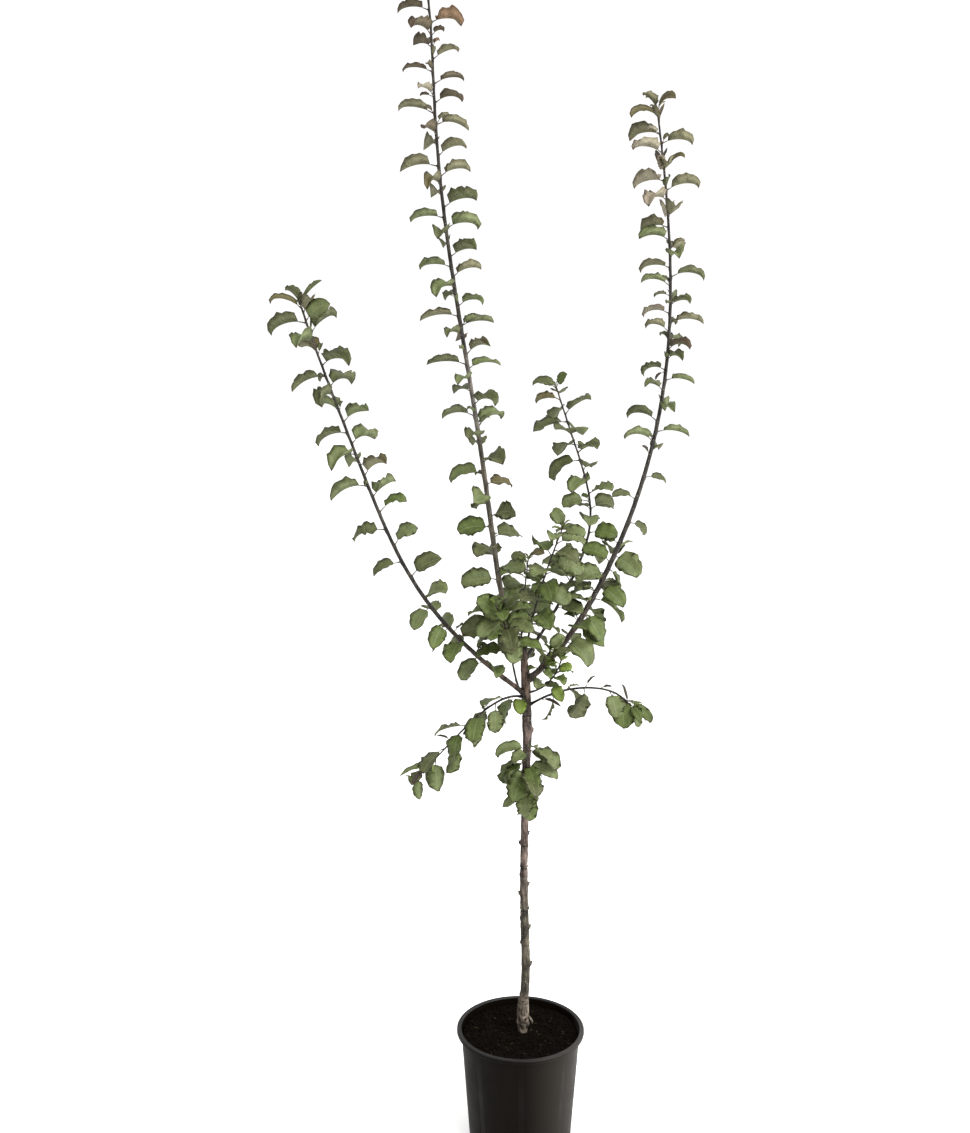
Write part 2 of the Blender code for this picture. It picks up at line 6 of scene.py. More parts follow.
import bpy
import numpy as np
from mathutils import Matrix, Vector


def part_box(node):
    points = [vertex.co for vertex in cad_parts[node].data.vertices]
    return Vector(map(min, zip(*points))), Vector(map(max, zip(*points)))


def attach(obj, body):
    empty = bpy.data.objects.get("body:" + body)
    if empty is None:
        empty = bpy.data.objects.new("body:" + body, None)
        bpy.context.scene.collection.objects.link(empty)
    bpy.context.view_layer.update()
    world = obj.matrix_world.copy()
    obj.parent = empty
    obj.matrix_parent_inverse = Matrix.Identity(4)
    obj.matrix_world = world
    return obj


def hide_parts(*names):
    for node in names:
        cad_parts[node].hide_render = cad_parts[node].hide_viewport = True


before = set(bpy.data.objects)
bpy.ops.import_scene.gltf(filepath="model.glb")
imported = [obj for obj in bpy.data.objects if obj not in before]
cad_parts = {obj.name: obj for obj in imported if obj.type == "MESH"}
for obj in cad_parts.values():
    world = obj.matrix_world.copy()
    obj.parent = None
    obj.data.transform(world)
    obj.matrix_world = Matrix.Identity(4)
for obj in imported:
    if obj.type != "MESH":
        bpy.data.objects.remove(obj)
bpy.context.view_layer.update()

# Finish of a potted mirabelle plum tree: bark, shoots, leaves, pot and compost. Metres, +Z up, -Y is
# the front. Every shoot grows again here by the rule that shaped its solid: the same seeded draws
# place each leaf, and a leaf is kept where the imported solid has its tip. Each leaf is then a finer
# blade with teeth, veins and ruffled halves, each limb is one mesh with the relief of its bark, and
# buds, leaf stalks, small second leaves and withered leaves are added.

bl_info = {
    "name": "Potted mirabelle plum",
    "version": (1, 0, 0),
    "blender": (4, 5, 0),
    "location": "3D View > Sidebar > Plum",
    "description": "Grows the bark, shoots and leaves of a young plum tree in its nursery pot",
    "category": "Object",
}

SEED = 17

# Camera: on the level of the crown's middle, tipped down, in front of the tree and to its left.
CAMERA_PLACE = (-0.0669, -2.1153, 1.400)
CAMERA_TILT = 82.0
FOCAL_LENGTH = 37.97
SENSOR = 36.0

# Pot: wall and base as in the solid, whose rim and height come from the frame.
SHOULDER_DIAMETER = 0.2225
BASE_DIAMETER = 0.191
RIM_DEPTH = 0.0135
RIM_TOP_WIDTH = 0.0085
ROLL_DEPTH = 0.0078  # of the rolled lip at the rim's top
BASE_CHAMFER = 0.003
WALL = 0.002
SLOTS = 8
SLOT_WIDTH = 0.010
SLOT_HEIGHT = 0.020
SLOT_DEPTH = 0.008
POT_STEPS = 192

# Compost.
BED_ROWS = 44
BED_SIDES = 96
CRUMB_ROWS = 4
CRUMB_SIDES = 5
FIBRE_ROWS = 5

GAP = 0.0003
# Trunk: height above the underside, lean to the right, lean to the back, diameter.
TRUNK = (
    (0.2123, 0.0050, 0.000, 0.0150),
    (0.2180, 0.0048, 0.000, 0.0190),
    (0.2260, 0.0049, 0.000, 0.0214),
    (0.2400, 0.0052, 0.000, 0.0224),
    (0.2580, 0.0047, 0.000, 0.0222),
    (0.2720, 0.0052, 0.001, 0.0208),
    (0.2870, 0.0064, 0.001, 0.0200),
    (0.2950, 0.0079, 0.001, 0.0168),
    (0.330, 0.0095, 0.002, 0.0162),
    (0.377, 0.0092, 0.002, 0.0162),
    (0.404, 0.0080, 0.003, 0.0163),
    (0.440, 0.0068, 0.003, 0.0160),
    (0.475, 0.0061, 0.003, 0.0152),
    (0.500, 0.0056, 0.003, 0.0155),
    (0.520, 0.0053, 0.003, 0.0145),
    (0.545, 0.0053, 0.003, 0.0142),
    (0.600, 0.0061, 0.003, 0.0141),
    (0.690, 0.0073, 0.002, 0.0146),
    (0.772, 0.0098, 0.001, 0.0153),
    (0.790, 0.0102, 0.001, 0.0166),
    (0.812, 0.0095, 0.000, 0.0178),
    (0.835, 0.0090, 0.000, 0.0175),
    (0.905, 0.0064, 0.000, 0.0166),
    (0.930, 0.0038, 0.000, 0.0130),
    (0.948, 0.0012, 0.000, 0.0146),
    (0.9565, 0.0003, 0.000, 0.0118),
)
TRUNK_STEP = 0.0013
TRUNK_SIDES = 48
# Knobs, scars and hollows on the trunk: height, compass heading, how far out, half height, breadth in
# radians.
KNOBS = (
    (0.2180, 200, 0.0010, 0.0050, 0.60), (0.2300, 190, 0.0012, 0.0080, 0.70),
    (0.2330, 330, 0.0014, 0.0060, 0.60), (0.2475, 268, 0.0012, 0.0040, 0.45),
    (0.2440, 289, 0.0016, 0.0050, 0.45), (0.2440, 289, -0.0058, 0.0024, 0.22),
    (0.2375, 262, -0.0016, 0.0014, 0.30), (0.2350, 305, -0.0014, 0.0012, 0.30),
    (0.2560, 283, -0.0014, 0.0060, 0.10),
    (0.2620, 255, -0.0010, 0.0070, 0.09), (0.2820, 284, 0.0009, 0.0018, 0.22),
    (0.2845, 296, -0.0020, 0.0014, 0.16), (0.2790, 262, -0.0013, 0.0014, 0.35),
    (0.3010, 262, -0.0010, 0.0080, 0.08), (0.3510, 357, 0.0042, 0.0044, 0.62),
    (0.3590, 345, 0.0012, 0.0030, 0.50), (0.3925, 186, 0.0018, 0.0036, 0.80),
    (0.4230, 2, 0.0040, 0.0042, 0.58), (0.4400, 186, 0.0010, 0.0034, 0.60),
    (0.4590, 350, 0.0018, 0.0032, 0.55), (0.4565, 332, -0.0018, 0.0014, 0.25),
    (0.4885, 184, 0.0032, 0.0036, 0.66), (0.5065, 352, 0.0028, 0.0034, 0.58),
    (0.5250, 182, 0.0014, 0.0034, 0.60), (0.5650, 0, 0.0008, 0.0040, 0.60),
    (0.5860, 181, 0.0030, 0.0034, 0.62), (0.5810, 358, 0.0010, 0.0024, 0.50),
    (0.6050, 2, 0.0024, 0.0034, 0.58), (0.6520, 176, 0.0014, 0.0030, 0.60),
    (0.7160, 350, 0.0014, 0.0030, 0.60), (0.7420, 190, 0.0014, 0.0034, 0.60),
    (0.8010, 2, 0.0034, 0.0062, 0.60), (0.8220, 262, -0.0012, 0.0050, 0.20),
    (0.8420, 250, 0.0014, 0.0040, 0.60),
)
# Where the foot is slimmer than its solid: height, by how much, half height.
FOOT_WAISTS = ((0.2840, 0.0020, 0.0090), (0.2230, 0.0030, 0.0070))
# Rings that last year's bud scales left, each a ridge with a crease under it.
RINGS = (0.2890, 0.2765, 0.3910, 0.4590, 0.5410, 0.5850, 0.7160, 0.8330)

STALK_LENGTH = 0.013
WIDEST_AT = 0.43
ROUNDNESS = 0.45
TRIES = 24
TIP_MATCH = 0.00002  # a kept leaf's tip and the solid's corner agree to this

# Grid of a blade: columns from its left margin over the midrib to its right.
COLUMNS = (-1.0, -0.5, 0.0, 0.5, 1.0)
VEINS = 5
LOW_LEAVES = 1.25  # leaves under this height are more crumpled and have finer teeth
AXIL_SHARE = 0.30  # of the leaves that have a small second leaf in their axil

LIMB_STEP = 0.004
LIMB_SIDES = 14
TIP_LENGTH = 0.006
STALK_ROWS = 7
STALK_SIDES = 6
BUD_ROWS = 6
BUD_SIDES = 7
BARE_NODE_GAP = 0.026

# Tints of leaves: the share of each that is dealt out at each height, low to high.
TINT_HEIGHTS = (0.70, 0.94, 1.02, 1.20, 1.45, 1.73, 1.86, 1.96, 2.10)
TINTS = {
    "russet": (0.00, 0.00, 0.00, 0.00, 0.00, 0.00, 0.16, 0.28, 0.38),
    "bronze": (0.00, 0.00, 0.00, 0.00, 0.00, 0.10, 0.54, 0.64, 0.62),
    "khaki": (0.00, 0.00, 0.00, 0.02, 0.16, 0.52, 0.26, 0.08, 0.00),
    # Painted sheen: the silver tint is a pale grey that stands for the sheen of glossy leaves.
    "silver": (0.00, 0.00, 0.00, 0.00, 0.01, 0.02, 0.02, 0.00, 0.00),
    "olive": (0.33, 0.15, 0.15, 0.52, 0.55, 0.36, 0.04, 0.00, 0.00),
    # Painted light: the light tint is a lighter copy of the green for leaves on which the light falls.
    "light": (0.12, 0.20, 0.40, 0.38, 0.28, 0.00, 0.00, 0.00, 0.00),
    "green": (0.45, 0.60, 0.45, 0.08, 0.00, 0.00, 0.00, 0.00, 0.00),
    # Painted shade: the shade tint is a darker copy of the green for leaves low in the crown, where shade
    # falls.
    "shade": (0.10, 0.05, 0.00, 0.00, 0.00, 0.00, 0.00, 0.00, 0.00),
}
# Some shoots have a share of one tint besides, between two heights: the last that is drawn stays.
SPRAY_TINTS = {
    # Painted light: the light tint sprayed on these shoots is a lighter copy of the green.
    "leader": (("light", 1.40, 1.73, 0.35), ("bronze", 1.88, 2.10, 0.45)),
    # Painted sheen: a share of the right shoot's leaves take the pale silver tint.
    "right": (("khaki", 1.62, 2.00, 0.60), ("silver", 1.42, 1.64, 0.24), ("silver", 1.64, 2.00, 0.34)),
    "low_right": (("light", 0.70, 1.00, 0.75),),
    "trunk": (("light", 0.60, 0.80, 0.60),),
}
# Where a shoot's leaves are narrower than its solid's: from which height, to which, by what share.
SLIMMER = {
    "leader": ((1.40, 1.57, 0.72), (1.72, 1.84, 0.85), (1.84, 1.96, 0.66)),
    "right": ((1.20, 1.64, 0.70),),
}
# Leaves of the rule that are smaller than in their solid, since the fork shows past them: number, share.
SMALLER = {
    "low_left": ((0, 0.62),),
    "spur": ((0, 0.6), (1, 0.5), (2, 0.5), (3, 0.6), (5, 0.6)),
}
YOUNG = len(TINTS)
WITHERED = YOUNG + 1


@dataclass
class Growth:
    """How the leaves of one mass grow. Lengths in metres, angles in degrees."""

    gap: float = 0.0165  # along the stem from one leaf to the next
    first: float = 0.008  # along the stem to the first leaf
    row: float = 180  # compass heading of the first leaf, 0 right, 90 back
    turn: float = 144  # round the stem from one leaf to the next
    spread: float = 14  # the most a leaf strays from that heading
    size: float = 0.052  # length of the blade
    width: float = 0.75  # of that length
    lift: float = 56  # from the stem's direction to the stalk's
    droop: float = 14  # the stalk bends down by this
    arch: float = 46  # the blade bends down by this
    fold: float = 50  # of each half of the blade above flat
    face: float = 0  # a blade that points left or right rolls this far to face the front
    unlike: float = 0.3  # the most the bends stray, as a share
    reach: float = 0.085  # the mass keeps within this of its stem


@dataclass
class Shoot:
    """One shoot, from a foot inside the trunk to its tip. Lengths in metres, angles in degrees."""

    name: str
    foot: tuple  # where the centre line starts
    reach: float  # across the ground from foot to tip
    bearing: float  # compass heading from foot to tip
    rise: float  # height gained from foot to tip
    leave: tuple  # heading, and slant from upright, at the foot
    arrive: tuple  # heading and slant at the tip
    thick: tuple  # diameter at the foot and at the tip
    handles: tuple = (0.36, 0.36)
    sway: float = 0.0  # an S bend across the ground, toward the bearing and then away from it
    bare: float = 0.0  # share of the length that is a bare bough
    masses: tuple = ()  # (share where the mass ends, its Growth)
    sides: int = 6


HIGH = Growth()
LOW = Growth(
    gap=0.0150, size=0.051, width=0.78, lift=55, droop=25, arch=38, fold=22, spread=30, face=42
)
HANGING = Growth(
    gap=0.0160, row=300, turn=137.5, spread=40, size=0.050, width=0.80, lift=62, droop=62, arch=22,
    fold=14, unlike=0.85,
)
ROSETTE = replace(LOW, gap=0.0080, turn=137.5, spread=25, size=0.056, lift=74, droop=14, arch=26)

SHOOTS = (
    Shoot(
        "front", (0.0085, 0.0, 0.862), 0.124, 243, 0.186, (243, 64), (243, 56), (0.0040, 0.0028),
        handles=(0.36, 0.36), bare=0.52,
        masses=((1.0, replace(ROSETTE, gap=0.0084, row=200, size=0.057)),),
    ),
    Shoot(
        "trunk", (0.0108, 0.0, 0.772), 0.044, 266, -0.088, (262, 66), (272, 165), (0.0046, 0.0024),
        masses=((0.32, replace(HANGING, gap=0.0090, first=0.010, row=182, turn=165, spread=8,
                               size=0.060, lift=72, droop=6, arch=52, fold=24, unlike=0.3)),
                (1.0, replace(HANGING, gap=0.0074, first=0.002, row=230, spread=25, size=0.055,
                              lift=76, droop=46, arch=30, unlike=0.6))),
    ),
    Shoot(
        "leader", (0.001, 0.0, 0.935), 0.1885, 204.6, 1.153, (198, 44), (201, 42), (0.0106, 0.0034),
        handles=(0.312, 0.238), sway=-0.0489, bare=0.11, sides=8,
        masses=((0.285, replace(HIGH, gap=0.0192, first=0.002, row=36, size=0.052, width=0.80,
                                fold=20, arch=36, droop=24, face=48)),
                (0.455, replace(HIGH, gap=0.0205, first=0.008, row=180, fold=36, face=22)),
                (0.645, replace(HIGH, first=0.0003, row=180)),
                (0.825, replace(HIGH, first=0.006, row=36)),
                (1.0, replace(HIGH, gap=0.0190, first=0.004, row=252, size=0.050))),
    ),
    Shoot(
        "right", (0.008, 0.0, 0.894), 0.2645, 27.8, 1.0225, (25, 66), (152, 5), (0.0112, 0.0032),
        handles=(0.246, 0.516), sway=-0.0212, bare=0.085, sides=8,
        masses=((0.27, replace(LOW, gap=0.0122, first=0.004, row=300, size=0.054, droop=40,
                               unlike=0.7)),
                (0.43, replace(LOW, gap=0.044, row=180, turn=180, size=0.036)),
                (0.60, replace(HIGH, gap=0.0190, first=0.012, row=72, unlike=0.5)),
                (0.80, replace(HIGH, first=0.012, row=288)),
                (1.0, replace(HIGH, first=0.010, row=144, size=0.054))),
    ),
    Shoot(
        "left", (0.0075, 0.0, 0.868), 0.4013, 202.1, 0.6827, (212, 49.4), (211, 13), (0.0090, 0.0032),
        handles=(0.375, 0.401), sway=0.0146, bare=0.10, sides=8,
        masses=((0.36, replace(LOW, gap=0.021, row=20, turn=160, size=0.047, spread=50)),
                (0.58, replace(HIGH, gap=0.031, first=0.030, row=10, turn=180, size=0.046,
                               fold=26, face=35)),
                (0.79, replace(HIGH, gap=0.0190, first=0.005, row=36, size=0.057, unlike=0.5)),
                (1.0, replace(HIGH, gap=0.0180, first=0.012, row=252, size=0.058))),
    ),
    Shoot(
        "inner_back", (0.004, 0.0, 0.930), 0.1523, 66.3, 0.4946, (46, 45.7), (130, 27),
        (0.0062, 0.0026), handles=(0.706, 0.482), sway=0.0095, bare=0.17,
        masses=((0.45, LOW), (0.72, replace(LOW, size=0.050)),
                (1.0, replace(LOW, size=0.056, fold=28, face=28))),
    ),
    Shoot(
        "inner_front", (0.004, 0.0, 0.935), 0.098, 310.4, 0.248, (308, 14), (311, 28),
        (0.0046, 0.0020), bare=0.22, masses=((1.0, replace(LOW, gap=0.0125, row=0, size=0.051)),),
    ),
    Shoot(
        "right_twig", (0.0085, 0.0, 0.872), 0.0675, 333.6, 0.067, (330, 80), (340, 15),
        (0.0036, 0.0020),
        masses=((1.0, replace(LOW, gap=0.0085, first=0.030, row=60, turn=137.5, size=0.036)),),
    ),
    Shoot(
        "spur", (0.0070, 0.0, 0.900), 0.062, 312, 0.060, (305, 70), (320, 30), (0.0040, 0.0022),
        masses=((1.0, replace(ROSETTE, first=0.026, row=20, turn=100, lift=60, size=0.050)),),
    ),
    Shoot(
        "low_left", (0.008, 0.0, 0.862), 0.212, 193.7, -0.144, (214, 66), (195, 133),
        (0.0044, 0.0018), handles=(0.29, 0.50),
        masses=((0.50, replace(HANGING, gap=0.0165, first=0.014, row=250, turn=150, spread=40,
                               droop=45)),
                (1.0, replace(HANGING, gap=0.0225, first=0.006, row=194, turn=180, spread=60,
                              size=0.047, droop=40))),
    ),
    Shoot(
        "low_right", (0.009, 0.0, 0.846), 0.1917, 345.9, 0.0058, (347, 61.6), (351, 140),
        (0.0046, 0.0030), handles=(0.476, 0.402), sway=-0.0067,
        masses=((0.62, replace(HANGING, gap=0.0300, first=0.052, row=346, turn=180, spread=40)),
                (1.0, replace(HANGING, gap=0.0120, first=0.026, row=300, size=0.049, droop=45))),
    ),
    Shoot(
        "back", (0.002, 0.0, 0.912), 0.120, 84, 0.190, (96, 52), (70, 18), (0.0046, 0.0022),
        bare=0.20, masses=((1.0, replace(LOW, row=90, turn=137.5)),),
    ),
)


# Leaves that stand out in the picture, besides those of the rule: length along the shoot, heading,
# rise, blade, width, droop, arch, fold and roll, to 2 mm and 5 degrees.
PLACED_LEAVES = {
    "trunk": (
        (0.020, 185, 30, 0.054, 0.024, 10, 70, 30, -40),
        (0.022, 355, -5, 0.050, 0.024, 10, 50, 30, 40),
        (0.020, 235, 0, 0.038, 0.028, 10, 25, 15, -35),
        (0.096, 200, 70, 0.048, 0.036, 10, 25, 15, -90),
        (0.046, 290, -15, 0.050, 0.032, 10, 20, 15, 25),
        (0.048, 0, 0, 0.056, 0.030, 10, 35, 25, 55),
        (0.094, 310, -65, 0.048, 0.032, 10, 15, 10, 35),
        (0.092, 175, -25, 0.046, 0.020, 10, 20, 30, -50),
        (0.056, 240, -25, 0.060, 0.044, 10, 20, 15, -25),
    ),
    "front": (
        (0.186, 205, 60, 0.064, 0.046, 10, 20, 20, -80),
        (0.192, 315, 65, 0.058, 0.036, 10, 25, 35, 55),
        (0.180, 335, 15, 0.050, 0.028, 10, 30, 20, 50),
        (0.174, 280, -30, 0.048, 0.036, 10, 20, 10, 15),
        (0.180, 230, -5, 0.040, 0.034, 10, 25, 15, -45),
    ),
    "left": (
        (0.802, 210, 45, 0.056, 0.020, 10, 55, 30, -45),
        (0.810, 330, 60, 0.048, 0.016, 10, 35, 40, 45),
        (0.782, 330, 55, 0.050, 0.032, 10, 30, 15, 100),
    ),
    "right": (
        (1.108, 165, 80, 0.024, 0.014, 10, 70, 30, -60),
        (1.102, 305, 65, 0.048, 0.022, 10, 90, 25, 60),
        (1.094, 200, 35, 0.054, 0.022, 10, 65, 30, -45),
        (1.002, 310, 45, 0.048, 0.018, 10, 40, 30, 60),
        (0.996, 240, 50, 0.032, 0.022, 10, 15, 15, -110),
    ),
    "inner_back": ((0.568, 305, 55, 0.032, 0.020, 10, 20, 20, 95),),
    "low_left": ((0.224, 210, 5, 0.056, 0.016, 10, 20, 35, -30),),
    "low_right": (
        (0.202, 300, -15, 0.036, 0.016, 10, 20, 20, 35),
        (0.204, 0, -10, 0.048, 0.020, 10, 40, 20, 60),
    ),
}
# Dead leaves that still hang, in the same measures.
WITHERED_LEAVES = {
    "left": ((0.208, 225, -25, 0.048, 0.012, 10, 10, 55, -15),),
    "right": (
        (0.482, 215, 60, 0.020, 0.012, 10, 30, 45, -45),
        (0.640, 205, -15, 0.020, 0.008, 10, 30, 40, -25),
    ),
    "low_left": (
        (0.236, 230, -15, 0.034, 0.012, 10, 10, 50, -20),
        (0.168, 200, 40, 0.024, 0.008, 10, 20, 45, -40),
    ),
    "low_right": (
        (0.116, 330, 65, 0.024, 0.008, 10, 10, 50, 50),
        (0.028, 330, 10, 0.036, 0.010, 10, 30, 50, 35),
        (0.142, 315, 30, 0.020, 0.008, 10, 20, 45, 40),
        (0.202, 220, 70, 0.038, 0.010, 10, -20, 50, -60),
    ),
    "trunk": ((0.024, 300, 75, 0.020, 0.008, 10, 20, 40, 60),),
}


def linear(value):
    """One sRGB channel from 0 to 1 as a linear one."""
    return value / 12.92 if value <= 0.04045 else ((value + 0.055) / 1.055) ** 2.4


def colour(code):
    """An sRGB hex colour as linear red, green, blue and an alpha of 1."""
    return (*(linear(int(code[i : i + 2], 16) / 255) for i in (1, 3, 5)), 1.0)


def mixed(first, second, share):
    return tuple(a + (b - a) * share for a, b in zip(first, second))


def toward(heading, slant):
    """Unit direction with a compass heading and a slant from upright, in degrees."""
    turn, lean = math.radians(heading), math.radians(slant)
    return np.array(
        [math.cos(turn) * math.sin(lean), math.sin(turn) * math.sin(lean), math.cos(lean)]
    )


def centre_line(shoot):
    """The shoot's Bezier curve and its sway as 241 points, and the length along it at each."""
    foot = np.array(shoot.foot)
    tip = foot + shoot.reach * toward(shoot.bearing, 90) + np.array([0, 0, shoot.rise])
    chord = np.linalg.norm(tip - foot)
    first = foot + shoot.handles[0] * chord * toward(*shoot.leave)
    second = tip - shoot.handles[1] * chord * toward(*shoot.arrive)
    t = np.linspace(0, 1, 241)[:, None]
    line = (1 - t) ** 3 * foot + 3 * t * (1 - t) ** 2 * first
    line += 3 * t**2 * (1 - t) * second + t**3 * tip
    line += shoot.sway * np.sin(2 * math.pi * t) * toward(shoot.bearing, 90)
    steps = np.linalg.norm(np.diff(line, axis=0), axis=1)
    return line, np.concatenate([[0], np.cumsum(steps)])


def on_line(line, lengths, at):
    """Points of the centre line at these lengths from its foot."""
    return np.stack([np.interp(at, lengths, line[:, i]) for i in range(3)], axis=-1)


def diameter(shoot, share):
    return shoot.thick[0] + (shoot.thick[1] - shoot.thick[0]) * share


def outline(t):
    """Half width of a blade as a share of its widest, at a share t of its length."""
    low, high = ROUNDNESS, ROUNDNESS * (1 - WIDEST_AT) / WIDEST_AT
    peak = WIDEST_AT**low * (1 - WIDEST_AT) ** high
    return t**low * (1 - t) ** high / peak


@dataclass
class Leaf:
    root: np.ndarray  # on the stem's centre line
    heading: np.ndarray  # unit vector across the ground
    rise: float  # angle of the stalk above level at the root, in radians
    stalk: float
    blade: float
    width: float
    droop: float
    arch: float
    fold: float
    roll: float


def bent_run(rise, bend, run, at):
    """How far out and up a path has come after the length at, bending down evenly over run."""
    rate = bend / run
    now = rise - rate * at
    return (math.sin(rise) - math.sin(now)) / rate, (math.cos(now) - math.cos(rise)) / rate, now


def leaf_frame(leaf, at):
    """Midrib point, side and normal of a leaf at a length from its root."""
    out, up, now = bent_run(leaf.rise, leaf.droop, leaf.stalk, min(at, leaf.stalk))
    if at > leaf.stalk:
        more_out, more_up, now = bent_run(now, leaf.arch, leaf.blade, at - leaf.stalk)
        out, up = out + more_out, up + more_up
    vertical = np.array([0, 0, 1])
    along = leaf.heading * math.cos(now) + vertical * math.sin(now)
    normal = vertical * math.cos(now) - leaf.heading * math.sin(now)
    side = np.cross(along, normal)
    turn = (math.cos(leaf.roll), math.sin(leaf.roll))
    side, normal = side * turn[0] - normal * turn[1], normal * turn[0] + side * turn[1]
    return leaf.root + leaf.heading * out + vertical * up, side, normal


def leaf_at(name, growth, line, lengths, at, count, attempt):
    """The leaf that the seeded rule puts at a length along a shoot, for the mass of this name."""
    chance = random.Random(f"{name} {count} {attempt}")
    stray = [chance.uniform(-1, 1) for _ in range(7)]
    root = on_line(line, lengths, at)
    ahead = on_line(line, lengths, min(at + 0.002, lengths[-1]))
    behind = on_line(line, lengths, max(at - 0.002, 0))
    along = (ahead - behind) / np.linalg.norm(ahead - behind)
    azimuth = growth.row + growth.turn * count + growth.spread * stray[0]
    out = toward(azimuth, 90)
    out = out - along * (out @ along)
    out /= np.linalg.norm(out)
    near_tip = max(0.0, 1 - (lengths[-1] - at) / 0.045)
    lift = math.radians(growth.lift * (1 - 0.55 * near_tip) + 7 * stray[1])
    way = along * math.cos(lift) + out * math.sin(lift)
    across = np.array([way[0], way[1], 0])
    heading = across / np.linalg.norm(across)
    size = growth.size * (1 - 0.42 * near_tip) * (1 + 0.13 * stray[2])
    return Leaf(
        root=root,
        heading=heading,
        rise=math.asin(way[2]),
        stalk=STALK_LENGTH * (1 - 0.4 * near_tip) * (1 + 0.2 * stray[3]),
        blade=size,
        width=size * growth.width * (1 + 0.07 * stray[4]),
        droop=math.radians(growth.droop * (1 + growth.unlike * stray[5])),
        arch=math.radians(growth.arch * (1 + growth.unlike * stray[6])),
        fold=math.radians(growth.fold * (1 + 0.2 * stray[3])),
        roll=math.radians(20 * stray[4] + growth.face * heading[0]),
    )


def unit(vectors):
    """The vectors at length one."""
    return vectors / np.linalg.norm(vectors, axis=-1, keepdims=True)


def chance_for(name):
    """A generator of random numbers that depends on the name alone."""
    return np.random.default_rng([SEED, *name.encode()])


@dataclass
class Node:
    """Where a leaf or a bud sits on a limb."""

    root: np.ndarray  # on the limb's centre line
    along: np.ndarray
    out: np.ndarray
    at: float  # length from the limb's foot
    radius: float
    leafy: bool


def node_at(shoot, line, lengths, at, heading, leafy):
    """The node at a length along a shoot, facing the heading as squarely as the stem allows."""
    root = on_line(line, lengths, at)
    ahead = on_line(line, lengths, min(at + 0.002, lengths[-1]))
    behind = on_line(line, lengths, max(at - 0.002, 0))
    along = unit(ahead - behind)
    out = unit(heading - along * (heading @ along))
    radius = diameter(shoot, at / lengths[-1]) / 2
    return Node(root, along, out, at, radius, leafy)


def corners_of(name):
    """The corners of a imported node, in metres."""
    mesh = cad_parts[name].data
    points = np.empty(len(mesh.vertices) * 3)
    mesh.vertices.foreach_get("co", points)
    return points.reshape(-1, 3)


def mass_leaves(name, shoot, growth, start, end):
    """The leaves that the rule gives one mass and its solid has, and the nodes along its stem."""
    line, lengths = centre_line(shoot)
    total = lengths[-1]
    corners = corners_of(name)
    kept, nodes = [], []
    count = 0
    at = start * total + growth.first
    while at < end * total - 0.002:
        tried = [leaf_at(name, growth, line, lengths, at, count, i) for i in range(TRIES)]
        tips = np.array([leaf_frame(leaf, leaf.stalk + leaf.blade)[0] for leaf in tried])
        apart = np.abs(corners[None] - tips[:, None]).max(axis=2).min(axis=1)
        found = apart < TIP_MATCH
        chosen = tried[int(found.argmax())]
        if found.any():
            kept.append(chosen)
        nodes.append(node_at(shoot, line, lengths, at, chosen.heading, bool(found.any())))
        at += growth.gap * (1 - 0.35 * max(0.0, 1 - (total - at) / 0.05))
        count += 1
    return kept, nodes


@functools.lru_cache(maxsize=None)
def grown(index):
    """One shoot's leaves and nodes: those of its masses, then bare nodes along its bough."""
    shoot = SHOOTS[index]
    line, lengths = centre_line(shoot)
    total = lengths[-1]
    chance = chance_for(shoot.name)
    leaves, nodes, names = [], [], []
    start = shoot.bare + GAP / total if shoot.bare else 0.0
    for number, (end, growth) in enumerate(shoot.masses):
        name = f"{shoot.name}_foliage" + (f"_{number + 1}" if len(shoot.masses) > 1 else "")
        kept, found = mass_leaves(name, shoot, growth, start, end)
        leaves += kept
        nodes += found
        names.append(name)
        start = end
    bare = np.arange(0.030, shoot.bare * total, BARE_NODE_GAP)
    for number, at in enumerate(bare):
        heading = toward(144 * number + 60 * chance.uniform(-1, 1), 90)
        nodes.append(node_at(shoot, line, lengths, at, heading, False))
    return leaves, nodes, names


def placed_leaves(shoot, table):
    """The leaves that a table adds to a shoot, rooted on its centre line."""
    line, lengths = centre_line(shoot)
    made = []
    for at, heading, rise, blade, width, *bends in table.get(shoot.name, ()):
        root = on_line(line, lengths, at)
        bends = [math.radians(bend) for bend in bends]
        made.append(Leaf(root, toward(heading, 90), math.radians(rise), 0.009, blade, width, *bends))
    return made


def axil_leaves(shoot, leaves, chance):
    """Small second leaves beside some of the leaves, and the tuft of young ones at the tip."""
    line, lengths = centre_line(shoot)
    small = []
    for leaf in leaves:
        if chance.random() > AXIL_SHARE:
            continue
        turn = chance.choice([-1, 1]) * chance.uniform(35, 80)
        heading = turned(leaf.heading, turn)
        size = leaf.blade * chance.uniform(0.30, 0.52)
        small.append(
            replace(
                leaf, heading=heading, rise=leaf.rise + chance.uniform(-0.2, 0.5),
                stalk=leaf.stalk * 0.7, blade=size, width=size * chance.uniform(0.5, 0.75),
                droop=leaf.droop * 0.6, fold=leaf.fold * 1.2, roll=chance.uniform(-0.5, 0.5),
            )
        )
    for number in range(2 if shoot.name in PLACED_LEAVES else 5):
        size = chance.uniform(0.010, 0.021)
        root = on_line(line, lengths, lengths[-1] - 0.002 * number)
        small.append(
            Leaf(
                root=root, heading=toward(137.5 * number + chance.uniform(-20, 20), 90),
                rise=math.radians(chance.uniform(50, 75) - 7 * number), stalk=0.004, blade=size,
                width=size * 0.55, droop=0.2, arch=0.5, fold=0.8, roll=0.0,
            )
        )
    return small


def turned(vector, degrees):
    """A level vector turned about the vertical."""
    c, s = math.cos(math.radians(degrees)), math.sin(math.radians(degrees))
    return np.array([vector[0] * c - vector[1] * s, vector[0] * s + vector[1] * c, 0])


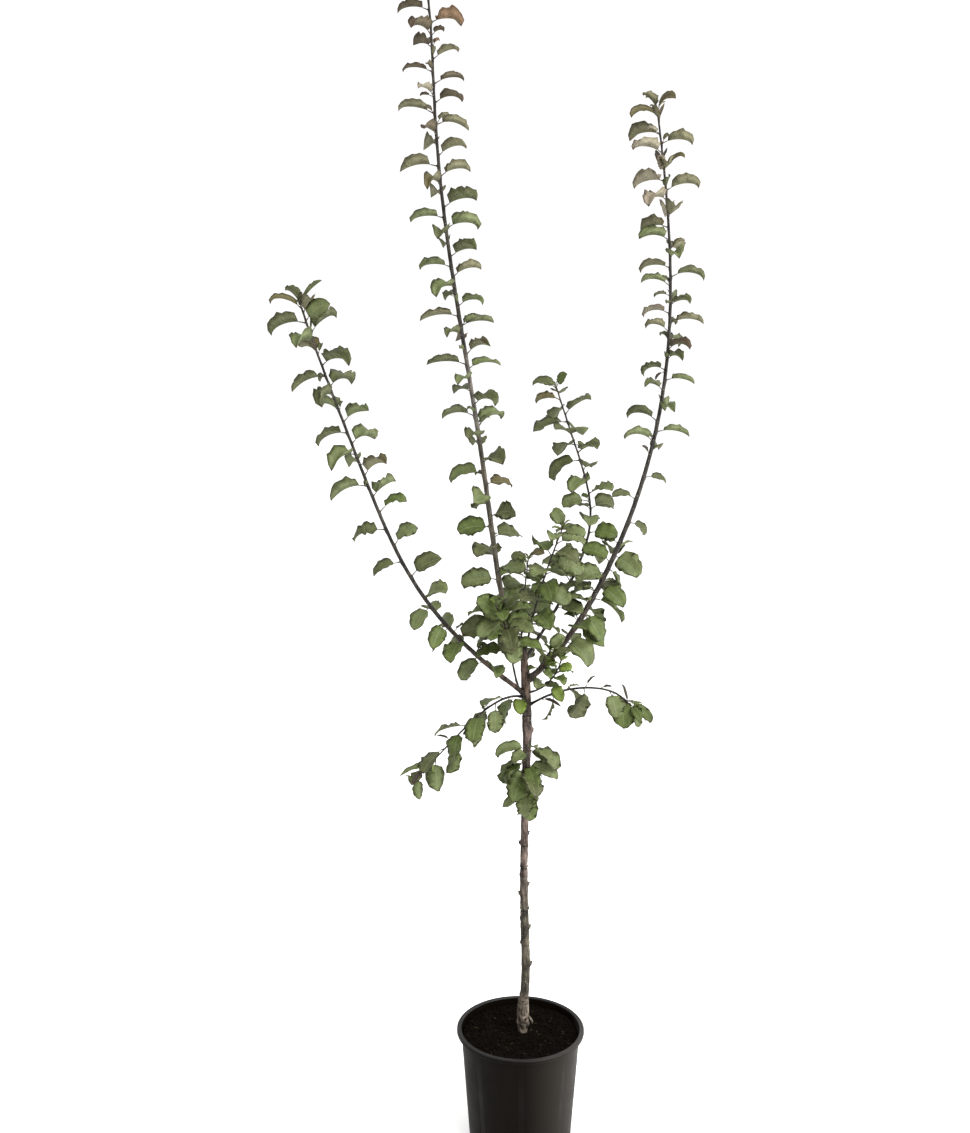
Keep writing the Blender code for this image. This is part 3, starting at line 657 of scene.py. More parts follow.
def surface(name, points, faces, looks, slots=None, spots=None, tone=None):
    """A smooth mesh object from its points and faces of four corners, the last -1 on a triangle.

    The spots are each point's place on a UV map named blade, and the tone is a number for each
    point in an attribute named hollow: the painted shade that darkens the bark.
    """
    corners = faces >= 0
    used, numbers = np.unique(faces[corners], return_inverse=True)
    sizes = corners.sum(axis=1)
    mesh = bpy.data.meshes.new(name)
    mesh.vertices.add(len(used))
    mesh.vertices.foreach_set("co", points[used].astype(np.float32).ravel())
    mesh.loops.add(len(numbers))
    mesh.loops.foreach_set("vertex_index", numbers.astype(np.int32).ravel())
    mesh.polygons.add(len(faces))
    mesh.polygons.foreach_set("loop_start", (np.cumsum(sizes) - sizes).astype(np.int32))
    for look in looks:
        mesh.materials.append(look)
    if slots is not None:
        mesh.polygons.foreach_set("material_index", slots.astype(np.int32).ravel())
    mesh.polygons.foreach_set("use_smooth", np.ones(len(faces), bool))
    mesh.update(calc_edges=True)
    if spots is not None:
        placed = spots[used][numbers].astype(np.float32)
        mesh.uv_layers.new(name="blade").data.foreach_set("uv", placed.ravel())
    if tone is not None:
        values = mesh.attributes.new("hollow", "FLOAT", "POINT").data
        values.foreach_set("value", tone[used].astype(np.float32))
    mesh.validate()
    made = bpy.data.objects.new(name, mesh)
    bpy.context.scene.collection.objects.link(made)
    return made


def finished(piece, slot, *nodes):
    """The piece riding on the tree, standing for its solids, which it hides; its slot is not used."""
    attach(piece, "root")
    if nodes:
        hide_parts(*nodes)
    return piece


def grid_faces(index, flip=False):
    """Faces between neighbouring rows and columns of a grid of point numbers.

    They face the way that columns crossed with rows point. Where two corners are one point, as at a
    pole, the face is a triangle.
    """
    quads = np.stack([index[:-1, :-1], index[:-1, 1:], index[1:, 1:], index[1:, :-1]], axis=-1)
    quads = quads.reshape(-1, 4)
    if flip:
        quads = quads[:, ::-1]
    same = quads == np.roll(quads, -1, axis=1)
    order = (np.arange(4) + same.argmax(axis=1)[:, None] + 1) % 4
    rolled = np.take_along_axis(quads, order, axis=1)
    rolled[:, 3] = -1
    return np.where(same.any(axis=1)[:, None], rolled, quads)


def tube_index(rows, sides):
    """Point numbers of a tube whose first and last ring are one point each, and whose seam is shut."""
    index = np.arange(rows * sides).reshape(rows, sides)
    index = np.concatenate([index, index[:, :1]], axis=1)
    index[0], index[-1] = index[0, 0], index[-1, 0]
    return index


def many(points, faces):
    """Like shapes as one: points (shape, point, 3) in one list, one shape's faces for each."""
    count, size = points.shape[:2]
    shift = (np.arange(count) * size)[:, None, None]
    return points.reshape(-1, 3), np.where(faces < 0, -1, faces + shift).reshape(-1, 4)


def round_path(path, across, radii):
    """Rings round paths: centre + radius x (cosine x first side + sine x second side).

    The first side is square to the path and to the vector across, and the second to both. Arrays are
    path (n, ring, 3), across (n, 3) and radii (n, ring, side).
    """
    along = unit(np.gradient(path, axis=1))
    first = unit(np.cross(np.broadcast_to(across[:, None], along.shape), along))
    second = np.cross(along, first)
    turn = np.linspace(0, 2 * np.pi, radii.shape[2], endpoint=False)
    ring = first[:, :, None] * np.cos(turn)[:, None] + second[:, :, None] * np.sin(turn)[:, None]
    return path[:, :, None] + ring * radii[..., None], first, second, turn


def ripples(chance, along, turn, shortest, longest, waves=14, rounds=(0, 7)):
    """Relief of height about one: a sum of sine waves that each run some whole turns round the limb
    and have their own wavelength along it and their own phase."""
    rounds = chance.integers(*rounds, waves)[:, None, None]
    pitch = 2 * np.pi / chance.uniform(shortest, longest, waves)[:, None, None]
    phase = chance.uniform(0, 2 * np.pi, waves)[:, None, None]
    return np.sin(rounds * turn + pitch * along[:, None] + phase).sum(axis=0) / waves**0.5


def bumps(along, turn, places, turns, heights, length, breadth):
    """Relief of round bumps: each falls off as a bell curve along the limb and round it."""
    down = np.exp(-(((along[None] - places[:, None]) / length) ** 2))
    off = (turn[None] - turns[:, None] + np.pi) % (2 * np.pi) - np.pi
    round_it = np.exp(-((off / breadth) ** 2))
    return np.einsum("k,ki,kj->ij", heights, down, round_it)


def limb(index, look):
    """One shoot from its foot in the trunk to its tip: a tapering tube with a collar, a swelling
    under every node and fine relief, closed by a rounded tip. Its lower side, and its flanks a
    little, are darkened as painted shade."""
    shoot = SHOOTS[index]
    line, lengths = centre_line(shoot)
    total = lengths[-1]
    chance = chance_for(shoot.name + " bark")
    at = np.linspace(0, total, int(total / LIMB_STEP))
    path = on_line(line, lengths, at)
    across = toward(shoot.bearing + 90, 90)
    radius = diameter(shoot, at / total) / 2
    radius = radius * (1 + 0.45 * np.exp(-(((at - 0.008) / 0.007) ** 2)))
    radius = radius * np.sqrt(np.clip((total - at) / TIP_LENGTH, 0, 1))
    _, first, second, turn = round_path(path[None], across[None], np.ones((1, len(at), LIMB_SIDES)))
    nodes = grown(index)[1]
    places = np.array([node.at for node in nodes])
    rows = np.clip(np.searchsorted(at, places), 0, len(at) - 1)
    out = np.array([node.out for node in nodes])
    turns = np.arctan2((out * second[0, rows]).sum(axis=1), (out * first[0, rows]).sum(axis=1))
    heights = np.array([0.0010 if node.leafy else 0.0016 for node in nodes])
    relief = bumps(at, turn, places, turns, heights, 0.0042, 0.85)
    relief += 0.035 * radius[:, None] * ripples(chance, at, turn, 0.012, 0.060)
    radii = radius[:, None] + relief * (radius[:, None] > 0)
    radii[0] = 0
    radii[-1] = 0
    points = round_path(path[None], across[None], radii[None])[0]
    faces = grid_faces(tube_index(len(at), LIMB_SIDES))
    # Painted shade: the lower side of the limb is darkened in the bark's colour, the flanks a little.
    below = first[0, :, None, 2] * np.cos(turn) + second[0, :, None, 2] * np.sin(turn)
    tone = np.clip(0.20 - 0.30 * below, 0, 1).ravel()
    return surface(f"{shoot.name}_limb", points.reshape(-1, 3), faces, [look], tone=tone)


def trunk_mesh(looks):
    """The trunk: rings round its leaning centre, smoothed over ten millimetres, with knobs, a lumpy
    graft foot, upright cracks, fine relief and a ragged cut at its head.

    How far a point lies under the bark round it, in cracks, creases and dents, and how far it lies
    under a knob, is kept as painted shade, which darkens the bark's colour. The left side, away from
    the light, is darkened a little as painted shade too.
    """
    stations = np.array(TRUNK)
    low, high = stations[0, 0] - 0.003, stations[-1, 0]
    heights = np.arange(low, high, TRUNK_STEP)
    columns = [np.interp(heights, stations[:, 0], stations[:, i]) for i in (1, 2, 3)]
    window = 2 * round(0.004 / TRUNK_STEP) + 1
    kernel = np.ones(window) / window
    lean_x, lean_y, thick = (
        np.convolve(np.pad(column, window // 2, mode="edge"), kernel, "valid") for column in columns
    )
    for height, slimmer, half in FOOT_WAISTS:
        thick = thick - slimmer * np.exp(-(((heights - height) / half) ** 2))
    chance = chance_for("trunk bark")
    path = np.stack([lean_x, lean_y, heights], axis=1)
    across = np.array([[0.0, 1.0, 0.0]])
    _, first, second, turn = round_path(path[None], across, np.ones((1, len(path), TRUNK_SIDES)))
    knobs = np.array(KNOBS)
    out = np.array([toward(heading, 90) for heading in knobs[:, 1]])
    rows = np.searchsorted(heights, knobs[:, 0])
    turns = np.arctan2((out * second[0, rows]).sum(axis=1), (out * first[0, rows]).sum(axis=1))
    shape = bumps(heights, turn, knobs[:, 0], turns, knobs[:, 2], knobs[:, 3:4], knobs[:, 4:])
    below = bumps(
        heights, turn, knobs[:, 0] - 0.9 * knobs[:, 3], turns, np.maximum(knobs[:, 2], 0),
        0.55 * knobs[:, 3:4], 0.8 * knobs[:, 4:],
    )
    foot = np.exp(-(((heights - 0.232) / 0.034) ** 2))[:, None]
    fine = 0.00026 * ripples(chance, heights, turn, 0.005, 0.040)
    rough = 0.00055 * foot * ripples(chance, heights, turn, 0.007, 0.026)
    crack = np.clip(ripples(chance, heights, turn, 0.030, 0.110, rounds=(3, 12)) - 0.7, 0, 2)
    crack = 0.0004 * crack * (1 + 0.8 * foot)
    off = (heights[None] - np.array(RINGS)[:, None]) / 0.0015
    ring = (0.0006 * np.exp(-(off**2)) - 0.0006 * np.exp(-((off + 1.8) ** 2))).sum(axis=0)
    ring = ring[:, None] * (1 + 0.7 * ripples(chance, heights, turn, 0.05, 0.2, rounds=(0, 4)))
    radii = thick[:, None] / 2 + shape + fine + rough - crack + ring
    # Painted shade: cracks, creases, dents and the undersides of knobs are darkened in the bark's colour
    # by this number.
    hollow = 1300 * (crack + np.clip(-ring, 0, 1) + 0.7 * np.clip(-fine - rough, 0, 1))
    hollow += 600 * np.clip(-shape, 0, 1) + 330 * below
    # Painted shade: the left side, away from the key light, darkens a little.
    away = first[0, :, None] * np.cos(turn)[:, None] + second[0, :, None] * np.sin(turn)[:, None]
    hollow += np.clip(0.20 - 0.40 * (away @ toward(345, 90)), 0, 1)
    points = round_path(path[None], across, radii[None])[0][0]
    ragged = 0.0012 * np.sin(3 * turn + 1) + 0.0009 * np.sin(7 * turn)
    points[-1, :, 2] += ragged
    points[-2, :, 2] += ragged / 2
    head = path[-1] - [0, 0, 0.002]
    ends = [np.broadcast_to(end, (1, TRUNK_SIDES, 3)) for end in (path[0], head)]
    inner = head + (points[-1] - head) * 0.55 - [0, 0, 0.0006]
    points = np.concatenate([ends[0], points, inner[None], ends[1]])
    hollow = np.concatenate([hollow[:1], hollow, hollow[-1:], hollow[-1:]])
    faces = grid_faces(tube_index(len(points), TRUNK_SIDES))
    slots = np.zeros(len(faces))
    slots[-2 * TRUNK_SIDES :] = 1
    return surface(
        "trunk_bark", points.reshape(-1, 3), faces, looks, slots, tone=hollow.ravel().clip(0, 1)
    )


def peeling_bark(look):
    """The strip of bark that curls off the foot: a flat spindle along a path that leaves the trunk and
    bends back toward it."""
    share = np.linspace(0, 1, 12)
    height = 0.2500 - 0.0170 * share
    out = 0.0098 + 0.0088 * np.sin(1.9 * share) ** 1.5
    turn = np.radians(344 - 6 * share)
    path = np.stack([0.0050 + out * np.cos(turn), out * np.sin(turn), height], axis=1)
    wide = 0.0030 * np.sin(np.pi * np.clip(0.12 + 0.88 * share, 0, 1)) ** 0.5
    sides = np.linspace(0, 2 * np.pi, 10, endpoint=False)
    radii = wide[:, None] * (0.30 + 0.70 * np.abs(np.sin(sides)))
    radii[0] = radii[-1] = 0
    points = round_path(path[None], np.array([[0.0, 1.0, 0.0]]), radii[None])[0]
    faces = grid_faces(tube_index(len(path), len(sides)))
    return surface("bark_curl", points.reshape(-1, 3), faces, [look])


def knob_nodes():
    """The dormant buds on the trunk's larger knobs, as bare nodes of its leaning centre."""
    stations = np.array(TRUNK)
    nodes = []
    for height, heading, out, *_ in KNOBS:
        if height < 0.30 or out < 0.0022:
            continue
        x, y, thick = (np.interp(height, stations[:, 0], stations[:, i]) for i in (1, 2, 3))
        root = np.array([x, y, height - 0.0006])
        nodes.append(
            Node(root, np.array([0, 0, 1.0]), toward(heading, 90), 0.0, thick / 2 + out, False)
        )
    return nodes


def spindles(base, axis, lengths, widths, rows, sides, squash=None):
    """Closed spindles: the radius is width x sine of pi x share^0.75 along the axis, the ends points."""
    share = np.linspace(0, 1, rows)
    path = base[:, None] + axis[:, None] * (share[:, None] * lengths[:, None, None])
    swell = np.sin(np.pi * share**0.75)
    radii = np.repeat((widths[:, None] / 2 * swell)[:, :, None], sides, axis=2)
    if squash is not None:
        radii = radii * squash
    across = np.cross(axis, np.array([0.31, 0.22, 0.93]))
    points = round_path(path, across, radii)[0].reshape(len(base), -1, 3)
    return many(points, grid_faces(tube_index(rows, sides)))


def measures(leaves):
    """The leaves' measures, one array for each."""
    return {f.name: np.array([getattr(leaf, f.name) for leaf in leaves]) for f in fields(Leaf)}


def bent_runs(rise, bend, run, at):
    """How far out and up paths have come after lengths at: as bent_run, for arrays."""
    now = rise - bend / run * at
    rate = bend / run
    return (np.sin(rise) - np.sin(now)) / rate, (np.cos(now) - np.cos(rise)) / rate, now


def stalks(leaves, look):
    """Leaf stalks: thin tubes along the bent run from the limb's centre to the blade's foot."""
    m = measures(leaves)
    share = np.linspace(0, 1.12, STALK_ROWS)
    column = {key: m[key][:, None] for key in ("rise", "droop", "stalk")}
    out, up, _ = bent_runs(column["rise"], column["droop"], column["stalk"], column["stalk"] * share)
    path = m["root"][:, None] + m["heading"][:, None] * out[..., None]
    path[..., 2] += up
    side = np.stack([m["heading"][:, 1], -m["heading"][:, 0], np.zeros(len(leaves))], axis=1)
    thick = look.stalk * (0.6 + 8 * m["blade"])[:, None] * (1 - 0.35 * share)
    thick = thick * np.array([0] + [1] * (STALK_ROWS - 2) + [0])
    radii = np.repeat(thick[:, :, None] / 2, STALK_SIDES, axis=2)
    points = round_path(path, side, radii)[0].reshape(len(leaves), -1, 3)
    return many(points, grid_faces(tube_index(STALK_ROWS, STALK_SIDES)))


def slimmed(shoot, leaves):
    """The shoot's leaves, narrower at the heights that SLIMMER gives, some smaller by SMALLER."""
    made = []
    for leaf in leaves:
        for low, high, share in SLIMMER.get(shoot.name, ()):
            if low < leaf.root[2] < high:
                leaf = replace(leaf, width=leaf.width * share)
        made.append(leaf)
    for number, share in SMALLER.get(shoot.name, ()):
        leaf = made[number]
        made[number] = replace(leaf, blade=leaf.blade * share, width=leaf.width * share)
    return made


def blades(leaves, chance, look):
    """Points and faces of finer leaves.

    Midrib: its angle above level falls evenly by the arch, and by the curl near the tip; its place
    is the running sum of steps out by the cosine and up by the sine. Across: each half rises at the
    fold's angle near the midrib and at half of it by the margin. Teeth lengthen and shorten every
    second row, ruffles lift the margin as a sine wave along it, most on the low leaves, and the blade is
    pleated between its veins. The two faces part by the blade's thickness and meet at the margin.
    """
    m = measures(leaves)
    count = len(leaves)
    rows = np.linspace(0, 1, look.rows + 1)
    cols = np.array(COLUMNS)
    from_rib = np.abs(cols)

    def draw(low, high):
        return chance.uniform(low, high, count)[:, None]

    curl, twist = np.radians(draw(-20, 75)), np.radians(draw(-40, 40))
    swerve, ruffle, waves = draw(-0.09, 0.09), draw(0.05, look.ruffle), draw(2.2, 4.0)
    crumple = 1 + 1.3 * (m["root"][:, 2] < LOW_LEAVES)[:, None] * draw(0, 1) ** 2
    ruffle, twist = ruffle * crumple, twist * crumple
    late = np.clip((rows - 0.62) / 0.38, 0, 1) ** 2

    key = {name: m[name][:, None] for name in ("rise", "droop", "stalk", "blade", "width", "arch")}
    out, up, now = bent_runs(key["rise"], key["droop"], key["stalk"], key["stalk"])
    angle = now - key["arch"] * rows - curl * late
    middle_angle = (angle[:, 1:] + angle[:, :-1]) / 2
    step = key["blade"] / look.rows
    zero = np.zeros((count, 1))
    out = out + np.concatenate([zero, np.cumsum(np.cos(middle_angle) * step, axis=1)], axis=1)
    up = up + np.concatenate([zero, np.cumsum(np.sin(middle_angle) * step, axis=1)], axis=1)

    heading = m["heading"][:, None]
    vertical = np.array([0, 0, 1])
    along = heading * np.cos(angle)[..., None] + vertical * np.sin(angle)[..., None]
    normal = vertical * np.cos(angle)[..., None] - heading * np.sin(angle)[..., None]
    side = np.cross(along, normal)
    roll = (m["roll"][:, None] + twist * rows**2)[..., None]
    side, normal = (
        side * np.cos(roll) - normal * np.sin(roll),
        normal * np.cos(roll) + side * np.sin(roll),
    )
    middle = m["root"][:, None] + heading * out[..., None] + vertical * up[..., None]
    middle = middle + side * (swerve * key["blade"] * rows**2)[..., None]

    narrow = 1 - 0.30 * np.clip((rows - 0.84) / 0.12, 0, 1)
    half = (key["width"] / 2 * outline(rows) * narrow)[..., None]
    margin = (from_rib == 1.0)[None, None]
    tooth = np.where(np.arange(len(rows)) % 2, 1, -1)[None, :, None]
    ragged = chance.normal(0, 1.1, (count, len(rows), len(cols)))
    fine = np.where(m["root"][:, 2] < LOW_LEAVES, 0.6, 1.0)[:, None, None]
    half = half * (1 + look.tooth * fine * (tooth + ragged) * margin)

    fold = m["fold"][:, None]
    start, fall = 1.25 * fold, -0.55 * fold
    slope = (start + fall * from_rib)[:, None]
    flat = ((np.sin(start + fall * from_rib) - np.sin(start)) / fall)[:, None]
    lift = ((np.cos(start) - np.cos(start + fall * from_rib)) / fall)[:, None]
    phase = chance.uniform(0, 1, (count, 2))[:, (cols > 0).astype(int)][:, None]
    wave = np.sin(2 * np.pi * (waves * rows)[..., None] + 2 * np.pi * phase)
    pleat = np.cos(2 * np.pi * VEINS * (rows[:, None] - 0.22 * from_rib))
    pleat = look.pleat * 4 * from_rib * (1 - from_rib) * (1 + pleat)
    lift = lift + ruffle[..., None] * from_rib**1.1 * wave + pleat
    sign = np.sign(cols)
    across = (half * flat * sign)[..., None]
    points = middle[:, :, None] + side[:, :, None] * across
    points = points + normal[:, :, None] * (half * lift)[..., None]

    turned_normal = normal[:, :, None] * np.cos(slope)[..., None]
    turned_normal = turned_normal - side[:, :, None] * (np.sin(slope) * sign)[..., None]
    ends = np.clip(10 * np.minimum(rows, 1 - rows), 0, 1)[:, None]
    part = (look.thickness / 2 * (1 - from_rib**6) * ends)[None, ..., None]
    rib = (0.0005 * (1 - rows)[:, None] * (from_rib < 0.1) * ends)[None, ..., None]
    top = points + turned_normal * part
    middle = len(cols) // 2
    under = (points - turned_normal * (part + rib))[:, 1:-1, middle]

    size = len(rows) * len(cols)
    upper = np.arange(size).reshape(len(rows), len(cols))
    upper[0], upper[-1] = upper[0, 0], upper[-1, 0]
    lower = upper[:, [0, middle, -1]]
    lower[1:-1, 1] = size + np.arange(len(rows) - 2)
    faces = np.concatenate([grid_faces(upper), grid_faces(lower, flip=True)])
    kind = np.repeat([0, 1], [look.rows * (len(cols) - 1), look.rows * 2])
    spots = np.stack(np.broadcast_arrays(from_rib, rows[:, None]), axis=-1).reshape(-1, 2)
    spots = np.concatenate([spots, np.stack([np.zeros(len(rows) - 2), rows[1:-1]], axis=1)])
    points, faces = many(np.concatenate([top.reshape(count, -1, 3), under], axis=1), faces)
    return points, faces, kind, np.tile(spots, (count, 1))


def dealt_tints(shoot, leaves, chance):
    """A tint for each leaf of a shoot, drawn by its height from the shares in TINTS."""
    heights = np.array([leaf.root[2] for leaf in leaves])
    shares = np.array([np.interp(heights, TINT_HEIGHTS, row) for row in TINTS.values()])
    steps = np.cumsum(shares / shares.sum(axis=0), axis=0)
    tints = (chance.random(len(leaves))[None] > steps).sum(axis=0).clip(0, YOUNG - 1)
    for tint, low, high, share in SPRAY_TINTS.get(shoot.name, ()):
        taken = (heights > low) & (heights < high) & (chance.random(len(leaves)) < share)
        tints = np.where(taken, list(TINTS).index(tint), tints)
    return tints


def node(tree, kind, settings=None, stops=(), **links):
    """A shader node with its settings and colour stops, its inputs set to values or linked.

    A link's name is the input's name with _ for a space, or in with a number for the input there.
    """
    made = tree.nodes.new(f"ShaderNode{kind}")
    for name, value in (settings or {}).items():
        setattr(made, name, value)
    if stops:
        elements = made.color_ramp.elements
        while len(elements) < len(stops):
            elements.new(1.0)
        for element, (place, tint) in zip(elements, stops):
            element.position = place
            element.color = tint
    for name, value in links.items():
        place = int(name[2:]) if name[2:].isdigit() else name.replace("_", " ")
        if isinstance(value, bpy.types.NodeSocket):
            tree.links.new(value, made.inputs[place])
        else:
            made.inputs[place].default_value = value
    return made


def material(name, roughness, **sockets):
    """A material with its shader's plain numbers set, its node tree, and Object coordinates in it."""
    made = bpy.data.materials.new(name)
    made.use_nodes = True
    tree = made.node_tree
    inputs = tree.nodes["Principled BSDF"].inputs
    inputs["Roughness"].default_value = roughness
    for socket, value in sockets.items():
        inputs[socket.replace("_", " ")].default_value = value
    return made, tree, node(tree, "TexCoord").outputs["Object"]


def dressed(tree, colour_node, bump_node=None):
    """Links the last colour and bump nodes of a material to its shader."""
    inputs = tree.nodes["Principled BSDF"].inputs
    tree.links.new(colour_node.outputs[0], inputs["Base Color"])
    if bump_node:
        tree.links.new(bump_node.outputs[0], inputs["Normal"])


def patches(tree, place, size, detail=3.0, stretch=(1, 1, 1)):
    """Cloudy patches about size metres wide, divided along each axis by stretch, as a number of
    about 0.3 to 0.7."""
    scaled = node(tree, "Mapping", Vector=place, Scale=[s / size for s in stretch])
    cloud = node(tree, "TexNoise", Vector=scaled.outputs[0], Scale=1.0, Detail=detail, Roughness=0.55)
    return cloud.outputs["Fac"]


def between(low, high, dark, light):
    """Two colour stops."""
    return [(low, dark), (high, light)]


def grey(value):
    return (value, value, value, 1.0)


def shaded(tint, share):
    """A colour at a share of its brightness."""
    return (*(channel * share for channel in tint[:3]), 1.0)


def blade_look(name, tint, vein, roughness, specular):
    """One face of a plum leaf: a thin waxy skin over soft tissue, quilted between its veins.

    The UV map gives the way from the midrib and the way along it. The midrib is pale, and fainter
    side veins leave it every seventh of its length and slant forward. The tissue darkens toward the
    margin and by a mottle 16 mm wide, dries brown at its very tip, and dimples 2.2 mm wide, larger
    than real so that they show, break the sheen.
    """
    made, tree, place = material(name, roughness, Specular_IOR_Level=specular)
    spot = node(tree, "SeparateXYZ", Vector=node(tree, "UVMap", {"uv_map": "blade"}).outputs[0])
    off, along = spot.outputs["X"], spot.outputs["Y"]
    slant = node(tree, "Math", {"operation": "MULTIPLY_ADD"}, in0=off, in1=-0.22, in2=along)
    pairs = node(tree, "Math", {"operation": "MULTIPLY"}, in0=slant.outputs[0], in1=7.0)
    ribs = node(tree, "Math", {"operation": "PINGPONG"}, in0=pairs.outputs[0], in1=0.5)
    fainter = node(tree, "Math", {"operation": "ADD"}, in0=ribs.outputs[0], in1=0.11)
    rib = node(tree, "Math", {"operation": "MULTIPLY"}, in0=off, in1=2.4)
    nearest = node(tree, "Math", {"operation": "MINIMUM"}, in0=fainter.outputs[0], in1=rib.outputs[0])
    broad = patches(tree, place, 0.016)
    tissue = node(
        tree, "ValToRGB", stops=between(0.32, 0.68, shaded(tint, 0.76), shaded(tint, 1.20)), Fac=broad
    )
    rim = node(tree, "ValToRGB", stops=between(0.60, 1.0, grey(1.0), (0.80, 0.76, 0.72, 1)), Fac=off)
    edged = node(
        tree, "MixRGB", {"blend_type": "MULTIPLY"},
        Fac=1.0, Color1=tissue.outputs[0], Color2=rim.outputs[0],
    )
    lines = node(
        tree, "ValToRGB", stops=between(0.04, 0.17, grey(0.36), grey(0.0)), Fac=nearest.outputs[0]
    )
    veined = node(tree, "MixRGB", Fac=lines.outputs[0], Color1=edged.outputs[0], Color2=vein)
    end = node(tree, "ValToRGB", stops=between(0.90, 0.97, grey(0.0), grey(0.85)), Fac=along)
    veined = node(
        tree, "MixRGB", Fac=end.outputs[0], Color1=veined.outputs[0], Color2=colour("#3a2a1e")
    )
    dimples = node(
        tree, "TexVoronoi", Scale=1.0,
        Vector=node(tree, "Mapping", Vector=place, Scale=[1 / 0.0022] * 3).outputs[0],
    )
    pillow = node(
        tree, "Math", {"operation": "MULTIPLY_ADD"},
        in0=ribs.outputs[0], in1=1.6, in2=dimples.outputs["Distance"],
    )
    dressed(tree, veined, node(tree, "Bump", Height=pillow.outputs[0], Distance=0.0005, Strength=0.6))
    return made


def leaf_looks(look):
    """Upper side and underside of every tint, then the stalks' finish."""
    pale, rib, red_rib = (colour(code) for code in (look.underside, look.rib, look.red_rib))
    made = []
    for name in [*TINTS, "young", "withered"]:
        tint = colour(getattr(look, name))
        vein = red_rib if name in ("russet", "bronze", "withered") else rib
        below = mixed(tint, pale, 0.30 if name in ("khaki", "silver") else 0.15)
        made.append(blade_look(f"{name} plum leaf, waxy upper side", tint, vein, 0.50, 0.20))
        made.append(
            blade_look(f"{name} plum leaf, downy underside", below, mixed(below, pale, 0.6), 0.75, 0.10)
        )
    stalk, tree, place = material("leaf stalk, fleshy and sunburnt", 0.5, Specular_IOR_Level=0.15)
    base = colour(look.stalk_tint)
    stops = between(0.35, 0.65, shaded(base, 0.7), shaded(base, 1.2))
    dressed(tree, node(tree, "ValToRGB", stops=stops, Fac=patches(tree, place, 0.012)))
    return [*made, stalk]


def bark_look(name, tones, fleck, roughness, bump, contrast=0.5):
    """Plum bark: smooth thin skin that greys with age, with flat corky lenticels across it.

    The colour follows the height, low to high, broken by patches 14 mm wide and twice as long and by
    upright streaks 3 mm wide. Pale flecks 1.6 mm high and three times as wide stand for the
    lenticels and flaking skin. Painted shade darkens the colour in the hollows of the relief, under
    the knobs, on the trunk's left side and on the limbs' lower sides.
    """
    made, tree, place = material(name, roughness, Specular_IOR_Level=0.18)
    height = node(tree, "SeparateXYZ", Vector=place).outputs["Z"]
    low, high = tones[0][0], tones[-1][0]
    share = node(tree, "MapRange", Value=height, From_Min=low, From_Max=high).outputs[0]
    stops = [((z - low) / (high - low), colour(code)) for z, code in tones]
    made_of = node(tree, "ValToRGB", stops=stops, Fac=share)
    for size, stretch, swing in ((0.014, (1, 1, 0.45), 1.0), (0.003, (1, 1, 0.10), 0.7)):
        swing *= contrast
        cloud = patches(tree, place, size, 4.0, stretch)
        tone = node(
            tree, "ValToRGB", stops=between(0.36, 0.64, grey(1 - swing), grey(1 + swing * 0.7)), Fac=cloud
        )
        made_of = node(
            tree, "MixRGB", {"blend_type": "MULTIPLY"},
            Fac=1.0, Color1=made_of.outputs[0], Color2=tone.outputs[0],
        )
    spots = patches(tree, place, 0.0048, 2.0, (1, 1, 3))
    mask = node(tree, "ValToRGB", stops=between(0.63, 0.73, grey(0.0), grey(0.9)), Fac=spots)
    made_of = node(tree, "MixRGB", Fac=mask.outputs[0], Color1=made_of.outputs[0], Color2=colour(fleck))
    # Painted shade: the point's attribute darkens the colour toward a dark brown.
    hollow = node(tree, "Attribute", {"attribute_name": "hollow"}).outputs["Fac"]
    painted_shade_ramp = node(tree, "ValToRGB", stops=between(0.05, 0.85, grey(1.0), (0.16, 0.14, 0.12, 1)), Fac=hollow)
    made_of = node(
        tree, "MixRGB", {"blend_type": "MULTIPLY"},
        Fac=1.0, Color1=made_of.outputs[0], Color2=painted_shade_ramp.outputs[0],
    )
    grain = patches(tree, place, 0.0030, 4.0, (1, 1, 0.6))
    dressed(tree, made_of, node(tree, "Bump", Height=grain, Distance=bump))
    return made


def flat_look(name, code, roughness, size, bump, dark=0.35):
    """A matt natural surface: its colour mottled from dark to full at the size, with bump."""
    made, tree, place = material(name, roughness, Specular_IOR_Level=0.04)
    base = colour(code)
    cloud = patches(tree, place, size, 5.0)
    tone = node(tree, "ValToRGB", stops=between(0.32, 0.68, shaded(base, 1 - dark), base), Fac=cloud)
    dressed(tree, tone, node(tree, "Bump", Height=cloud, Distance=bump))
    return made


